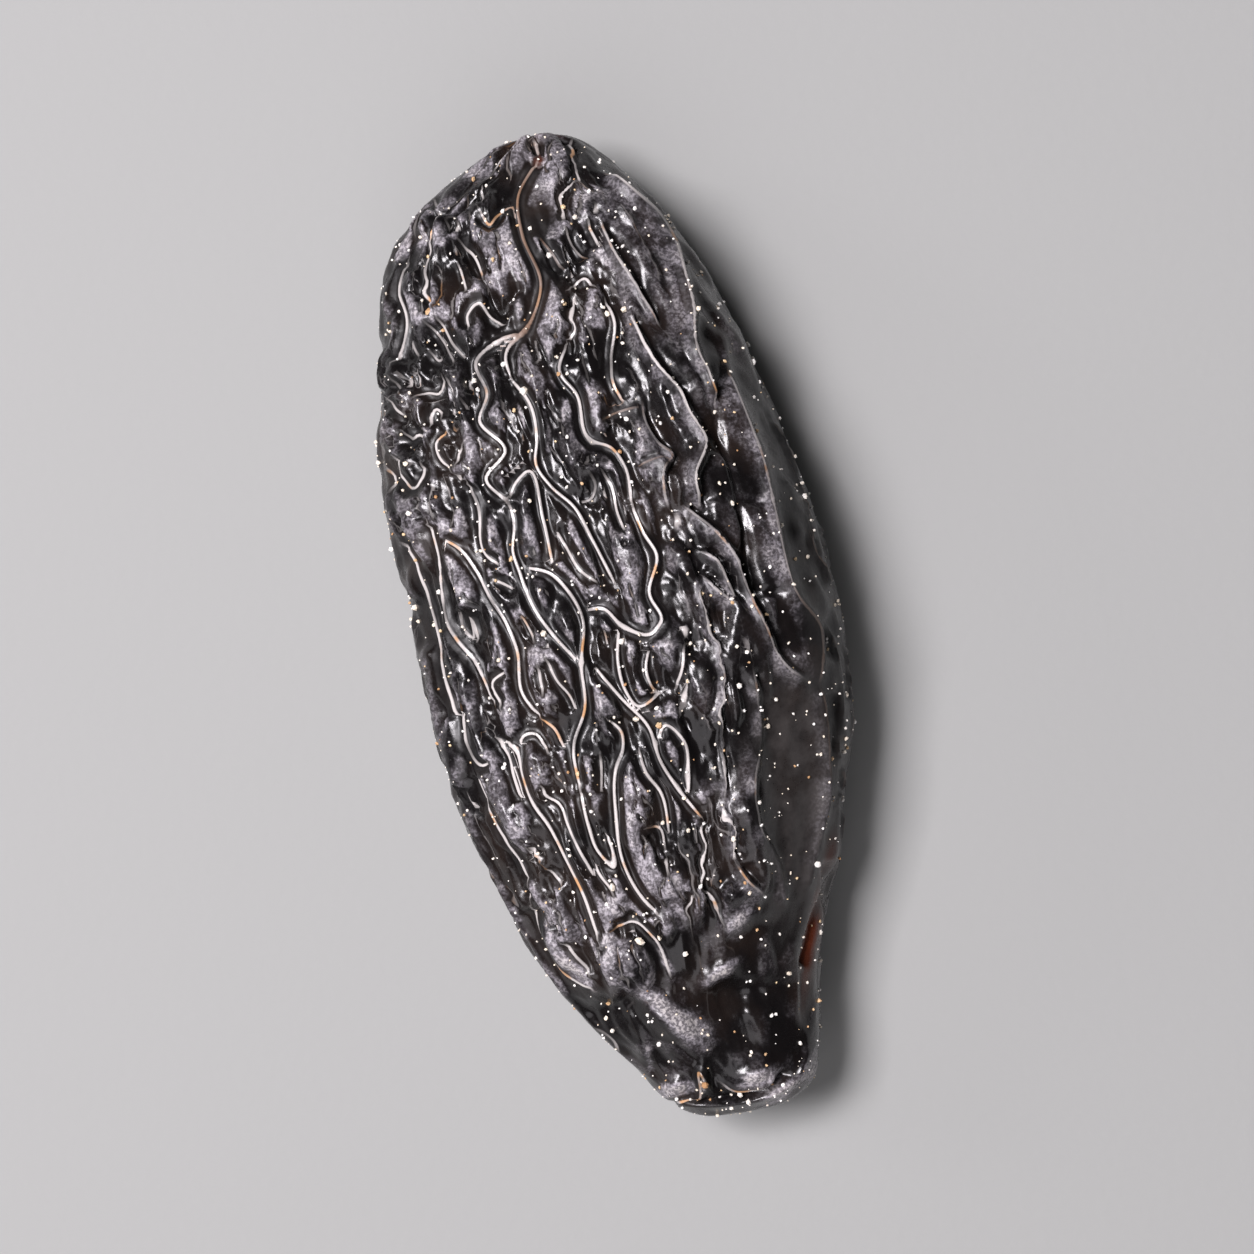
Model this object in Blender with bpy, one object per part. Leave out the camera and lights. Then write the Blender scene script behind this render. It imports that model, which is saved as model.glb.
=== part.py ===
"""One dried tonka bean, lying on its broad side.

The bean is a single solid seed: a long, flattened oval with a rounded end at +Y, a blunt snout at -Y,
and a skin that has shrunk into lengthwise wrinkles. It is modelled in metres, +Z up, with its origin
on the table under the middle of its box. A small flat spot on its underside is what it rests on.

The smooth form comes from a few stations along the length. The wrinkles are grown over it: a field
of noise is spread and sharpened in turn, which leaves wandering ridges a set distance apart, as a
skin buckles when the flesh below it shrinks. The longest ridges follow the routes laid out in FOLDS.
"""

from typing import NamedTuple

import bmesh
import bpy
import numpy as np
from mathutils import Matrix

MM = 0.001

# Driving dimensions of the smooth bean, before its wrinkles stand out from it
LENGTH = 37.4 * MM
REST_DEPTH = 0.28 * MM  # how much of the smooth underside the table presses flat
CROWN_LEAN = 0.8 * MM  # the crown stands this far towards -X, so the +X flank shows from above

# Stations along the length, from the snout (-1) to the rounded end (+1), with the half width, the
# sideways place of the middle, and the heights above and below the rim, all before the ends close in
STATION = (-1.0, -0.9, -0.76, -0.5, -0.2, 0.1, 0.4, 0.65, 0.87, 1.0)
HALF_WIDTH_MM = (6.4, 5.3, 5.5, 6.5, 7.6, 7.7, 7.8, 7.9, 8.4, 8.0)
MIDDLE_MM = (1.0, 0.8, 0.1, 0.0, 0.0, -0.1, -0.7, -1.0, -1.1, -0.5)
RISE_MM = (3.2, 3.4, 3.9, 4.8, 5.3, 5.5, 5.4, 5.1, 4.8, 4.4)
DROP_MM = (3.0, 3.3, 3.8, 4.2, 4.4, 4.4, 4.4, 4.3, 4.0, 3.6)

# How square the curves are: 2 is an ellipse, and more is boxier
SNOUT_SQUARENESS = 2.8
ROUND_END_SQUARENESS = 2.05
SECTION_SQUARENESS = 2.3

# The skin's grid has rows from snout to rounded end, and columns that start at the +X rim
ROWS = 400
COLUMNS = 512
CURVE_STEPS = 4000

# Wrinkles
RIDGE_HEIGHT = 0.46 * MM
RIDGE_SPACING = 1.25 * MM
RIDGE_STRETCH = 2.2  # how much longer the wrinkles' features are than they are wide
RIDGE_SHARPNESS = 3.0
GROWTH_ROUNDS = 24
GROWTH_GAIN = 2.2
GROWTH_BIAS = 0.12  # above 0, the ridges join into a net
NOISE_SEED = 7
WIDER_SPREAD = 1.6  # the second spread's width over the first's
SPACING_PER_SPREAD = 5.72  # the ridge spacing that such a pair of spreads picks out, over the first width
REST_FADE = (0.05 * MM, 0.8 * MM)  # wrinkles are pressed out below the first height, whole above the second
RIM_FADE = 1.3 * MM  # what is laid out from above runs this far down past the rim

# The build's mesh, within the size that a solid's file may have
MESH_COLUMNS = 88
MESH_ROWS = 66
UPPER_CROWDING = 0.25  # how much closer the mesh's columns stand on the upper side
MESH_SOFTENING = 0.16 * MM  # takes out what is too sharp for that mesh

SKIN_COLOUR = (0.018, 0.013, 0.010, 1.0)
SKIN_ROUGHNESS = 0.38


class Fold(NamedTuple):
    """A main ridge of the upper side: its half width, and its route in millimetres from the middle."""

    half_width: float
    route: tuple


class Swell(NamedTuple):
    """A rounded lump or, with a height below 0, a dent in the upper side, in millimetres and degrees."""

    x: float
    y: float
    half_length: float
    half_width: float
    turn: float
    height: float


FOLDS = (
    # the long ridges of the middle
    Fold(
        0.17,
        (
            (-3.0, 11.2), (-3.8, 10.8), (-4.1, 8.8), (-3.7, 7.6), (-4.3, 6.3), (-3.7, 5.3),
            (-3.6, 1.4), (-2.1, -1.0),
        ),
    ),
    Fold(
        0.17,
        (
            (-1.2, 17.0), (-1.1, 12.7), (-2.7, 11.0), (-2.1, 8.6), (-2.4, 6.7), (-1.3, 4.8),
            (-0.3, 1.8),
        ),
    ),
    Fold(
        0.17,
        (
            (-0.4, 10.7), (-0.9, 9.9), (-0.3, 7.1), (0.8, 5.4), (1.3, 2.4), (1.0, -0.1), (-0.9, 0.9),
            (-1.8, 0.9),
        ),
    ),
    Fold(
        0.17,
        (
            (-3.4, 2.8), (-2.3, 2.3), (-1.7, 0.8), (-2.2, -1.6), (-2.9, -3.8), (-2.9, -6.5),
            (-2.3, -8.5),
        ),
    ),
    Fold(0.17, ((-6.2, 4.3), (-4.4, 0.7), (-4.4, -1.9), (-3.4, -3.1), (-3.2, -4.2))),
    Fold(0.17, ((-5.6, -3.0), (-5.0, -3.9), (-4.8, -5.6), (-3.8, -8.8), (-3.2, -11.2))),
    Fold(0.17, ((-1.5, -3.0), (-1.2, -3.9), (-1.8, -6.3), (-1.8, -8.6), (-1.0, -10.4))),
    Fold(0.17, ((-1.6, -1.3), (-0.2, -3.3), (0.2, -5.2), (1.2, -7.3))),
    Fold(0.17, ((-0.5, -0.4), (-0.7, -1.7), (-0.3, -2.7), (1.2, -2.3), (1.6, -0.9))),
    Fold(0.17, ((-6.6, 5.0), (-6.7, 2.2), (-5.9, 0.1), (-5.5, -1.6))),
    # the broader ones of the +X side, and the seam that runs round its rim
    Fold(0.22, ((1.2, 15.2), (1.8, 13.3), (2.8, 8.9), (3.6, 6.3), (3.2, 4.2))),
    Fold(0.55, ((0.2, 17.2), (2.4, 16.2), (3.7, 13.4), (4.1, 9.4), (4.6, 7.4))),
    Fold(0.25, ((2.6, 4.0), (3.9, 2.3), (4.3, 0.2), (5.2, -2.2), (6.2, -3.0))),
    Fold(0.30, ((6.0, 7.5), (6.3, 0.5), (6.6, -4.0), (5.6, -9.8), (4.4, -13.0))),
    # the rolled lip of the snout
    Fold(0.50, ((-2.9, -16.6), (-1.2, -18.2), (1.6, -18.7), (3.5, -17.8), (4.1, -15.8))),
)

SWELLS = (
    Swell(-0.4, -13.3, 4.2, 0.9, 6.0, -0.75),
    Swell(-1.4, -14.5, 1.9, 0.9, -50.0, 0.45),
    Swell(0.6, -17.6, 3.0, 0.45, 0.0, -0.45),
    Swell(-4.7, -11.6, 1.6, 0.6, -62.0, 0.40),
    Swell(1.8, -11.3, 0.9, 0.7, 30.0, 0.45),
    Swell(3.1, -9.9, 0.9, 0.6, 70.0, 0.40),
    Swell(1.0, -12.7, 1.2, 0.5, 20.0, 0.30),
)

# The part of the +X flank whose skin stayed smooth
SMOOTH_PATCH = Swell(5.0, -6.9, 4.6, 1.5, 92.0, 1.0)


def smooth_through(at, stations, values):
    """Cubic interpolation through hand-set values."""
    stations, values = np.asarray(stations, float), np.asarray(values, float)
    slopes = np.gradient(values, stations)
    left = np.clip(np.searchsorted(stations, at) - 1, 0, len(stations) - 2)
    span = stations[left + 1] - stations[left]
    t = np.clip((at - stations[left]) / span, 0, 1)
    return (
        (1 + 2 * t) * (1 - t) ** 2 * values[left]
        + t * (1 - t) ** 2 * span * slopes[left]
        + t**2 * (3 - 2 * t) * values[left + 1]
        + t**2 * (t - 1) * span * slopes[left + 1]
    )


def eased(share):
    """A share turned into one that leaves 0 and reaches 1 gently."""
    share = np.clip(share, 0, 1)
    return share**2 * (3 - 2 * share)


def signed_power(value, power):
    """A power that keeps the value's sign."""
    return np.sign(value) * np.abs(value) ** power


def shares_of_length(*coordinates):
    """How far along a curve each of its points lies, from 0 to 1."""
    steps = np.sqrt(sum(np.diff(c) ** 2 for c in coordinates))
    reached = np.concatenate([[0.0], np.cumsum(steps)])
    return reached / reached[-1]


def long_profile():
    """How the ends close: share of the profile's length, place along the bean from -1 to 1, and width."""
    turn = np.linspace(-np.pi / 2, np.pi / 2, CURVE_STEPS)
    square = np.where(turn < 0, SNOUT_SQUARENESS, ROUND_END_SQUARENESS)
    place = signed_power(np.sin(turn), 2 / square)
    width = np.abs(np.cos(turn)) ** (2 / square)
    half_width = max(HALF_WIDTH_MM) * MM
    return shares_of_length(place * LENGTH / 2, width * half_width), place, width


def section_profile():
    """The middle section: share of its girth, starting at the +X rim, and its squared-off cosine and sine."""
    turn = np.linspace(0, 2 * np.pi, CURVE_STEPS)
    across = signed_power(np.cos(turn), 2 / SECTION_SQUARENESS)
    upward = signed_power(np.sin(turn), 2 / SECTION_SQUARENESS)
    share = shares_of_length(across * max(HALF_WIDTH_MM), upward * (max(RISE_MM) + max(DROP_MM)) / 2)
    return share, across, upward


def smooth_form(along, around):
    """The unwrinkled bean. along and around are shares of the profile's length and of the girth."""
    length_share, place, width = long_profile()
    girth_share, across, upward = section_profile()
    place = np.interp(along, length_share, place)
    width = np.interp(along, length_share, width)
    across = np.interp(around, girth_share, across)
    upward = np.interp(around, girth_share, upward)
    rise = smooth_through(place, STATION, RISE_MM)
    drop = smooth_through(place, STATION, DROP_MM)
    height = np.where(upward > 0, rise, drop)
    z = upward * height * width * MM
    lean = CROWN_LEAN * np.clip(upward, 0, 1) * width
    half_width = smooth_through(place, STATION, HALF_WIDTH_MM) * width * MM
    x = smooth_through(place, STATION, MIDDLE_MM) * MM + across * half_width - lean
    return np.stack([x, place * LENGTH / 2, z + max(DROP_MM) * MM - REST_DEPTH], axis=-1)


def skin_grid():
    """The smooth bean's points and outward normals on the skin's grid."""
    along = (np.arange(ROWS) + 0.5) / ROWS
    around = np.arange(COLUMNS) / COLUMNS
    points = smooth_form(*np.meshgrid(along, around, indexing="ij"))
    forward = np.gradient(points, axis=0)
    sideways = np.roll(points, -1, axis=1) - np.roll(points, 1, axis=1)
    normals = np.cross(forward, sideways)
    return points, normals / np.linalg.norm(normals, axis=2, keepdims=True)


def spread(field, points, across, along):
    """Blurs a field on the skin, by a distance across the bean and one along it."""
    girth = np.linalg.norm(points - np.roll(points, 1, axis=1), axis=2).sum(axis=1, keepdims=True)
    waves = np.fft.rfftfreq(COLUMNS, 1 / COLUMNS)
    keep = np.exp(-2 * (np.pi * across * waves / girth) ** 2)
    field = np.fft.irfft(np.fft.rfft(field, axis=1) * keep, n=COLUMNS, axis=1)
    # past an end, a column goes on up the far side
    loop = np.concatenate([field, np.roll(field, COLUMNS // 2, axis=1)[::-1]])
    row_step = np.linalg.norm(np.diff(points[:, COLUMNS // 4], axis=0), axis=1).mean()
    keep = np.exp(-2 * (np.pi * along * np.fft.rfftfreq(2 * ROWS, row_step)) ** 2)
    return np.fft.irfft(np.fft.rfft(loop, axis=0) * keep[:, None], n=2 * ROWS, axis=0)[:ROWS]


def ripples(field, points, spacing, stretch):
    """What of a field repeats at about this spacing, with features stretched along the bean."""
    narrow = spacing / SPACING_PER_SPREAD
    wide = narrow * WIDER_SPREAD
    found = spread(field, points, narrow, narrow * stretch) - spread(field, points, wide, wide * stretch)
    return found / found.std()


def grow_ridges(points, guide):
    """Wandering ridges, from 0 in the troughs to about 1 on the crests, that keep to a strong guide."""
    noise = np.random.default_rng(NOISE_SEED).standard_normal((ROWS, COLUMNS))
    field = 0.5 * noise + 3 * guide
    for _ in range(GROWTH_ROUNDS):
        band = ripples(field, points, RIDGE_SPACING, RIDGE_STRETCH)
        field = np.tanh(GROWTH_GAIN * (band + GROWTH_BIAS) + guide)
    band = ripples(field, points, RIDGE_SPACING, RIDGE_STRETCH)
    crest_level = np.percentile(np.abs(band), 97)
    return np.clip((1 + band / crest_level) / 2, 0, 1.1)


def route_points(route):
    """A fold's route as a smooth curve with a few short steps for each stretch, in metres."""
    corners = np.array(route) * MM
    reached = np.concatenate([[0.0], np.cumsum(np.hypot(*np.diff(corners, axis=0).T))])
    at = np.linspace(0, reached[-1], 5 * len(route))
    return np.stack([smooth_through(at, reached, corners[:, axis]) for axis in (0, 1)], axis=1)


def distance_to_route(points, route):
    """How far each point lies from a route, seen from above."""
    nearest = np.full(len(points), np.inf)
    curve = route_points(route)
    for start, end in zip(curve, curve[1:]):
        step = end - start
        share = np.clip((points - start) @ step / (step @ step), 0, 1)
        nearest = np.minimum(nearest, np.linalg.norm(points - start - share[:, None] * step, axis=1))
    return nearest


def swell_share(points, swell):
    """How fully a swell covers each point seen from above, from 0 to 1."""
    turn = np.radians(swell.turn)
    x, y = points[:, 0] - swell.x * MM, points[:, 1] - swell.y * MM
    length = (x * np.cos(turn) + y * np.sin(turn)) / (swell.half_length * MM)
    width = (y * np.cos(turn) - x * np.sin(turn)) / (swell.half_width * MM)
    return np.exp(-(length**2 + width**2))


def relief(points):
    """How far the wrinkled skin stands out from the smooth form, in metres."""
    height = points[..., 2]
    lowest = max(DROP_MM) * MM - REST_DEPTH - RIM_FADE
    above = height > lowest
    plan = points[above][:, :2]
    fade = eased((height[above] - lowest) / RIM_FADE)
    crest = np.zeros(len(plan))
    pull = np.zeros(len(plan))
    for fold in FOLDS:
        away = distance_to_route(plan, fold.route) / MM
        crest = np.maximum(crest, np.exp(-((away / fold.half_width) ** 2)))
        pull += 2.2 * np.exp(-((away / 0.28) ** 2)) - 0.8 * np.exp(-(((away - 0.65) / 0.3) ** 2))
    guide = np.zeros((ROWS, COLUMNS))
    guide[above] = np.clip(pull, -2.0, 3.0) * fade
    ridges = grow_ridges(points, guide) ** RIDGE_SHARPNESS
    ridges[above] = np.maximum(ridges[above], crest * fade)
    ridges[above] *= 1 - 0.9 * swell_share(plan, SMOOTH_PATCH)
    raised = RIDGE_HEIGHT * ridges * eased((height - REST_FADE[0]) / (REST_FADE[1] - REST_FADE[0]))
    for swell in SWELLS:
        raised[above] += swell.height * MM * swell_share(plan, swell) * fade
    return spread(raised, points, MESH_SOFTENING, MESH_SOFTENING)


def sample(grid, along, around):
    """Reads a grid at shares along and around the bean, between its rows and columns."""
    row = np.clip(along * ROWS - 0.5, 0, ROWS - 1.001)
    column = (around % 1.0) * COLUMNS
    r, c = row.astype(int), column.astype(int)
    next_c = (c + 1) % COLUMNS
    v, u = (row - r)[:, None], (column - c)[:, None]
    lower = grid[r, c % COLUMNS] * (1 - u) + grid[r, next_c] * u
    upper = grid[r + 1, c % COLUMNS] * (1 - u) + grid[r + 1, next_c] * u
    return lower * (1 - v) + upper * v


def skin_material():
    """The near-black brown of the skin, with the slight gloss of its natural oil."""
    material = bpy.data.materials.new("bean_skin")
    material.use_nodes = True
    shader = material.node_tree.nodes["Principled BSDF"]
    shader.inputs["Base Color"].default_value = SKIN_COLOUR
    shader.inputs["Roughness"].default_value = SKIN_ROUGHNESS
    shader.inputs["Metallic"].default_value = 0.0
    return material


def make_bean():
    """The seed, from a sphere whose poles are the bean's ends."""
    points, normals = skin_grid()
    skin = points + normals * relief(points)[..., None]
    shell = bmesh.new()
    bmesh.ops.create_uvsphere(shell, u_segments=MESH_COLUMNS, v_segments=MESH_ROWS, radius=1.0)
    bmesh.ops.rotate(shell, verts=shell.verts, matrix=Matrix.Rotation(np.pi / 2, 3, "X"))
    ball = np.array([vertex.co for vertex in shell.verts])
    along = 0.5 + np.arcsin(np.clip(ball[:, 1], -1, 1)) / np.pi
    turn = np.arctan2(ball[:, 2], ball[:, 0])
    around = (turn + UPPER_CROWDING * np.cos(turn)) / (2 * np.pi)
    placed = sample(skin, along, around)
    placed[:, 2] = np.maximum(placed[:, 2], 0.0)
    middle = (placed.min(axis=0) + placed.max(axis=0)) / 2
    placed[:, :2] -= middle[:2]
    for vertex, place in zip(shell.verts, placed):
        vertex.co = place
    bmesh.ops.recalc_face_normals(shell, faces=shell.faces)
    mesh = bpy.data.meshes.new("bean")
    shell.to_mesh(mesh)
    shell.free()
    mesh.materials.append(skin_material())
    mesh.shade_smooth()
    bean = bpy.data.objects.new("bean", mesh)
    bpy.context.scene.collection.objects.link(bean)
    return bean


for left_over in list(bpy.data.objects):
    bpy.data.objects.remove(left_over)
make_bean()
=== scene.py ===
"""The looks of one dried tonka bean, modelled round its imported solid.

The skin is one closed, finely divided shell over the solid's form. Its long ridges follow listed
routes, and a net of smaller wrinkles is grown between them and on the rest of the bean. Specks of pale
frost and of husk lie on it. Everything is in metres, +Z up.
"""

import logging
import math
from dataclasses import dataclass, field
from enum import Enum
from typing import Any, Iterator, Mapping, NamedTuple, Sequence, Union

import bpy
import numpy as np
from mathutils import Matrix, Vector


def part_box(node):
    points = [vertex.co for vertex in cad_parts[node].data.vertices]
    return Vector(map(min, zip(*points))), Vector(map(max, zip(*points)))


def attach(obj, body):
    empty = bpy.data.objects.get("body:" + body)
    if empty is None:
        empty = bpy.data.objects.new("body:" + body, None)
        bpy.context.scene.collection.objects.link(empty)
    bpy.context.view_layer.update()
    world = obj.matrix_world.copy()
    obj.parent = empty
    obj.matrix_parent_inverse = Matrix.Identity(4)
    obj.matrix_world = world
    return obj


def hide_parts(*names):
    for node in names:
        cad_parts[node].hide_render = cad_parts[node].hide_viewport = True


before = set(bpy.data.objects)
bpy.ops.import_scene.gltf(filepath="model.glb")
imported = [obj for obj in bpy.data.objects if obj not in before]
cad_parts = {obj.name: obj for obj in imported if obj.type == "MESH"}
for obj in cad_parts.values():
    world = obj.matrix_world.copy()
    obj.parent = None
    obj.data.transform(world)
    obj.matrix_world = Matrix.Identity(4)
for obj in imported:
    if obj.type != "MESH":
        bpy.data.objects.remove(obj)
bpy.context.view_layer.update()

MM = 0.001
BODY = "root"
NODE = "bean"
log = logging.getLogger("tonka_bean")

Colour = tuple[float, float, float, float]
Number = Union[float, "Value"]


# Shader building ------------------------------


class Value:
    """A number socket of a material. Arithmetic on it adds Math nodes."""

    def __init__(self, finish: "NodeFinish", socket: bpy.types.NodeSocket) -> None:
        """Wraps an output socket of a material."""
        self.finish = finish
        self.socket = socket

    def _math(self, operation: str, first: Number, second: Number) -> "Value":
        """The result of a new Math node."""
        node = self.finish.node("ShaderNodeMath", {"operation": operation}, {0: first, 1: second})
        return Value(self.finish, node.outputs[0])

    def __add__(self, other: Number) -> "Value":
        """Adds."""
        return self._math("ADD", self, other)

    def __radd__(self, other: Number) -> "Value":
        """Adds to a plain number."""
        return self._math("ADD", other, self)

    def __sub__(self, other: Number) -> "Value":
        """Takes away."""
        return self._math("SUBTRACT", self, other)

    def __rsub__(self, other: Number) -> "Value":
        """Takes this away from a plain number."""
        return self._math("SUBTRACT", other, self)

    def __mul__(self, other: Number) -> "Value":
        """Multiplies."""
        return self._math("MULTIPLY", self, other)

    def __rmul__(self, other: Number) -> "Value":
        """Multiplies a plain number."""
        return self._math("MULTIPLY", other, self)

    def between(self, low: float, high: float, least: float = 0.0, most: float = 1.0) -> "Value":
        """Eases from a least result where the value is low to a most where it is high."""
        settings = {"interpolation_type": "SMOOTHSTEP"}
        values = {"Value": self, "From Min": low, "From Max": high, "To Min": least, "To Max": most}
        return Value(self.finish, self.finish.node("ShaderNodeMapRange", settings, values).outputs["Result"])


class NodeFinish:
    """A material whose nodes are added by code."""

    def __init__(self, name: str) -> None:
        """Makes the material with its Principled BSDF.

        Args:
            name: The material's name.
        """
        self.material = bpy.data.materials.new(name)
        self.material.use_nodes = True
        self.tree = self.material.node_tree
        self.shader = self.tree.nodes["Principled BSDF"]

    def put(self, socket: bpy.types.NodeSocket, value: Any) -> None:
        """Links a socket to a value, or sets it.

        Args:
            socket: The input socket.
            value: A Value, an output socket or a constant.
        """
        if isinstance(value, Value):
            self.tree.links.new(value.socket, socket)
        elif isinstance(value, bpy.types.NodeSocket):
            self.tree.links.new(value, socket)
        else:
            socket.default_value = value

    def node(self, kind: str, settings: Mapping[str, Any], values: Mapping[Any, Any]) -> bpy.types.Node:
        """Adds a node.

        Args:
            kind: The node's type.
            settings: What is set on the node itself.
            values: What its input sockets get, by name or number.

        Returns:
            The node.
        """
        node = self.tree.nodes.new(kind)
        for name, setting in settings.items():
            setattr(node, name, setting)
        for name, value in values.items():
            self.put(node.inputs[name], value)
        return node

    def attribute(self, name: str) -> Value:
        """The number that the mesh holds under a name."""
        return Value(self, self.node("ShaderNodeAttribute", {"attribute_name": name}, {}).outputs["Fac"])

    def place(self, stretch: float) -> bpy.types.NodeSocket:
        """The place on the object, squeezed along the bean so that what is drawn on it is stretched."""
        place = self.node("ShaderNodeTexCoord", {}, {}).outputs["Object"]
        values = {"Vector": place, "Scale": (1.0, 1.0 / stretch, 1.0)}
        return self.node("ShaderNodeMapping", {}, values).outputs[0]

    def noise(self, size: float, detail: float = 2.0, roughness: float = 0.5, stretch: float = 1.0) -> Value:
        """Soft noise over the object.

        Args:
            size: The size of its features, in metres.
            detail: How many finer layers it has.
            roughness: How strong those are.
            stretch: How much longer the features are along the bean.

        Returns:
            The noise, from 0 to 1.
        """
        values = {"Vector": self.place(stretch), "Scale": 1.0 / size}
        values |= {"Detail": detail, "Roughness": roughness}
        return Value(self, self.node("ShaderNodeTexNoise", {}, values).outputs["Fac"])

    def pebbles(self, size: float, stretch: float, roundness: float) -> Value:
        """Rounded grains, packed side by side.

        Args:
            size: The width of a grain, in metres.
            stretch: How much longer a grain is along the bean.
            roundness: How soft its edges are, from 0 to 1.

        Returns:
            From 0 on a grain's top to about 1 in the gaps.
        """
        values = {"Vector": self.place(stretch), "Scale": 1.0 / size, "Smoothness": roundness}
        node = self.node("ShaderNodeTexVoronoi", {"feature": "SMOOTH_F1"}, values)
        return Value(self, node.outputs["Distance"])

    def blend(self, share: Number, first: Any, second: Any) -> bpy.types.NodeSocket:
        """Mixes two colours.

        Args:
            share: How much of the second there is.
            first: A colour or a colour socket.
            second: A colour or a colour socket.

        Returns:
            The mixed colour.
        """
        node = self.node("ShaderNodeMix", {"data_type": "RGBA"}, {})
        colour_inputs = [socket for socket in node.inputs if socket.type == "RGBA"]
        self.put(node.inputs[0], share)
        self.put(colour_inputs[0], first)
        self.put(colour_inputs[1], second)
        return next(socket for socket in node.outputs if socket.type == "RGBA")

    def bump(self, height: Value, depth: float) -> None:
        """Makes the surface uneven, where a height of 1 stands up by the depth in metres."""
        node = self.node("ShaderNodeBump", {}, {"Height": height, "Distance": depth, "Strength": 1.0})
        self.put(self.shader.inputs["Normal"], node.outputs["Normal"])

    def set(self, name: str, value: Any) -> None:
        """Sets or links an input of the Principled BSDF."""
        self.put(self.shader.inputs[name], value)


# Finishes ------------------------------


@dataclass(frozen=True)
class SkinFinish:
    """Near-black skin, oily in the folds, with a painted sheen and glints, and thin pale lines of painted
    highlight along the crests.
    """

    shade: Colour = (0.0044, 0.0037, 0.0038, 1.0)
    brown: Colour = (0.0140, 0.0095, 0.0078, 1.0)
    # painted sheen: a pale silver laid where the glossy cells would mirror the lights
    painted_silver: Colour = (0.290, 0.271, 0.294, 1.0)
    # the painted highlight of the crest lines and of the glints
    crest: Colour = (0.465, 0.437, 0.420, 1.0)
    gold: Colour = (0.460, 0.260, 0.130, 1.0)
    bloom: Colour = (0.042, 0.038, 0.0363, 1.0)
    rust: Colour = (0.120, 0.026, 0.010, 1.0)
    tan: Colour = (0.160, 0.098, 0.066, 1.0)
    roughness: float = 0.24
    refraction: float = 1.41
    # from the middle of a crest in square millimetres: the edge of its line, its rounding, and its matt sides
    line: tuple = (0.0002, 0.0044)
    rounding: tuple = (0.0, 0.014)
    matt_sides: tuple = (0.05, 0.10)
    rounding_depth: float = 0.012 * MM
    patch_size: float = 2.5 * MM
    line_tone_size: float = 1.3 * MM
    mottle_size: float = 0.9 * MM
    grain_size: float = 0.120 * MM
    grain_depth: float = 0.009 * MM
    pebble_size: float = 0.17 * MM
    pebble_depth: float = 0.012 * MM
    pebble_roundness: float = 0.35
    pitting_size: float = 0.45 * MM
    pitting_depth: float = 0.010 * MM

    def make(self) -> bpy.types.Material:
        """Builds the material."""
        finish = NodeFinish("bean_skin")
        masks = SkinMasks(finish, self)
        finish.set("Base Color", self._colour(finish, masks))
        finish.set("Roughness", self._roughness(masks))
        finish.set("IOR", self.refraction)
        finish.bump(self._relief(masks) * (1.0 / MM), 1.0 * MM)
        return finish.material

    def _colour(self, finish: NodeFinish, masks: "SkinMasks") -> bpy.types.NodeSocket:
        """Lays the colours over one another, from the dark skin up to the painted highlight along the crests.

        Args:
            finish: The material.
            masks: What the colours depend on.

        Returns:
            The colour.
        """
        patches, mottle, grain = masks.patches, masks.mottle, masks.grain
        gilded = finish.blend(masks.line_tone.between(0.57, 0.68), self.crest, self.gold)
        # the silver layer is a painted sheen, the glints are painted glints, and the pale lines are a painted
        # highlight, gold or tan in places
        layers = (
            (masks.painted_sheen * grain.between(0.40, 0.63, least=0.32), self.painted_silver),
            (masks.glints * grain.between(0.46, 0.60, least=0.10, most=0.70), self.crest),
            (masks.bloom * mottle.between(0.30, 0.66, least=0.40), self.bloom),
            (masks.rust * patches.between(0.25, 0.60), self.rust),
            (masks.line * patches.between(0.30, 0.50, least=0.30), finish.blend(masks.tan, gilded, self.tan)),
        )
        colour = finish.blend(patches.between(0.40, 0.75), self.shade, self.brown)
        for share, layer in layers:
            colour = finish.blend(share, colour, layer)
        return colour

    def _roughness(self, masks: "SkinMasks") -> Value:
        """Oily skin that is duller where the sheen is painted, where bloomed or tan, and beside the lines on
        the crests.
        """
        beside = masks.crest.between(0.0, 0.5) * (1.0 - masks.off.between(*self.matt_sides))
        beside = beside * (1.0 - masks.line)
        even = self.roughness + 0.10 * masks.painted_sheen + 0.25 * masks.bloom * masks.mottle
        even = even + 0.20 * masks.tan + 0.18 * beside
        return even + 0.25 * (masks.grain - 0.5) + 0.15 * (masks.mottle - 0.5)

    def _relief(self, masks: "SkinMasks") -> Value:
        """The fine relief in metres: grain, packed pebbles and pitting, and a rounded top on the crests."""
        flat = 1.0 - 0.8 * masks.bloom
        coarse = flat * (0.35 + 1.2 * masks.painted_sheen)
        relief = masks.grain * self.grain_depth * coarse
        relief = relief + (1.0 - masks.pebbles) * self.pebble_depth * coarse * (1.6 * masks.mottle)
        relief = relief + masks.pitting * self.pitting_depth * flat
        rounded = masks.crest * (1.0 - masks.off.between(*self.rounding)) * self.rounding_depth
        return relief * (1.0 - 0.7 * masks.line) + rounded


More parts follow.
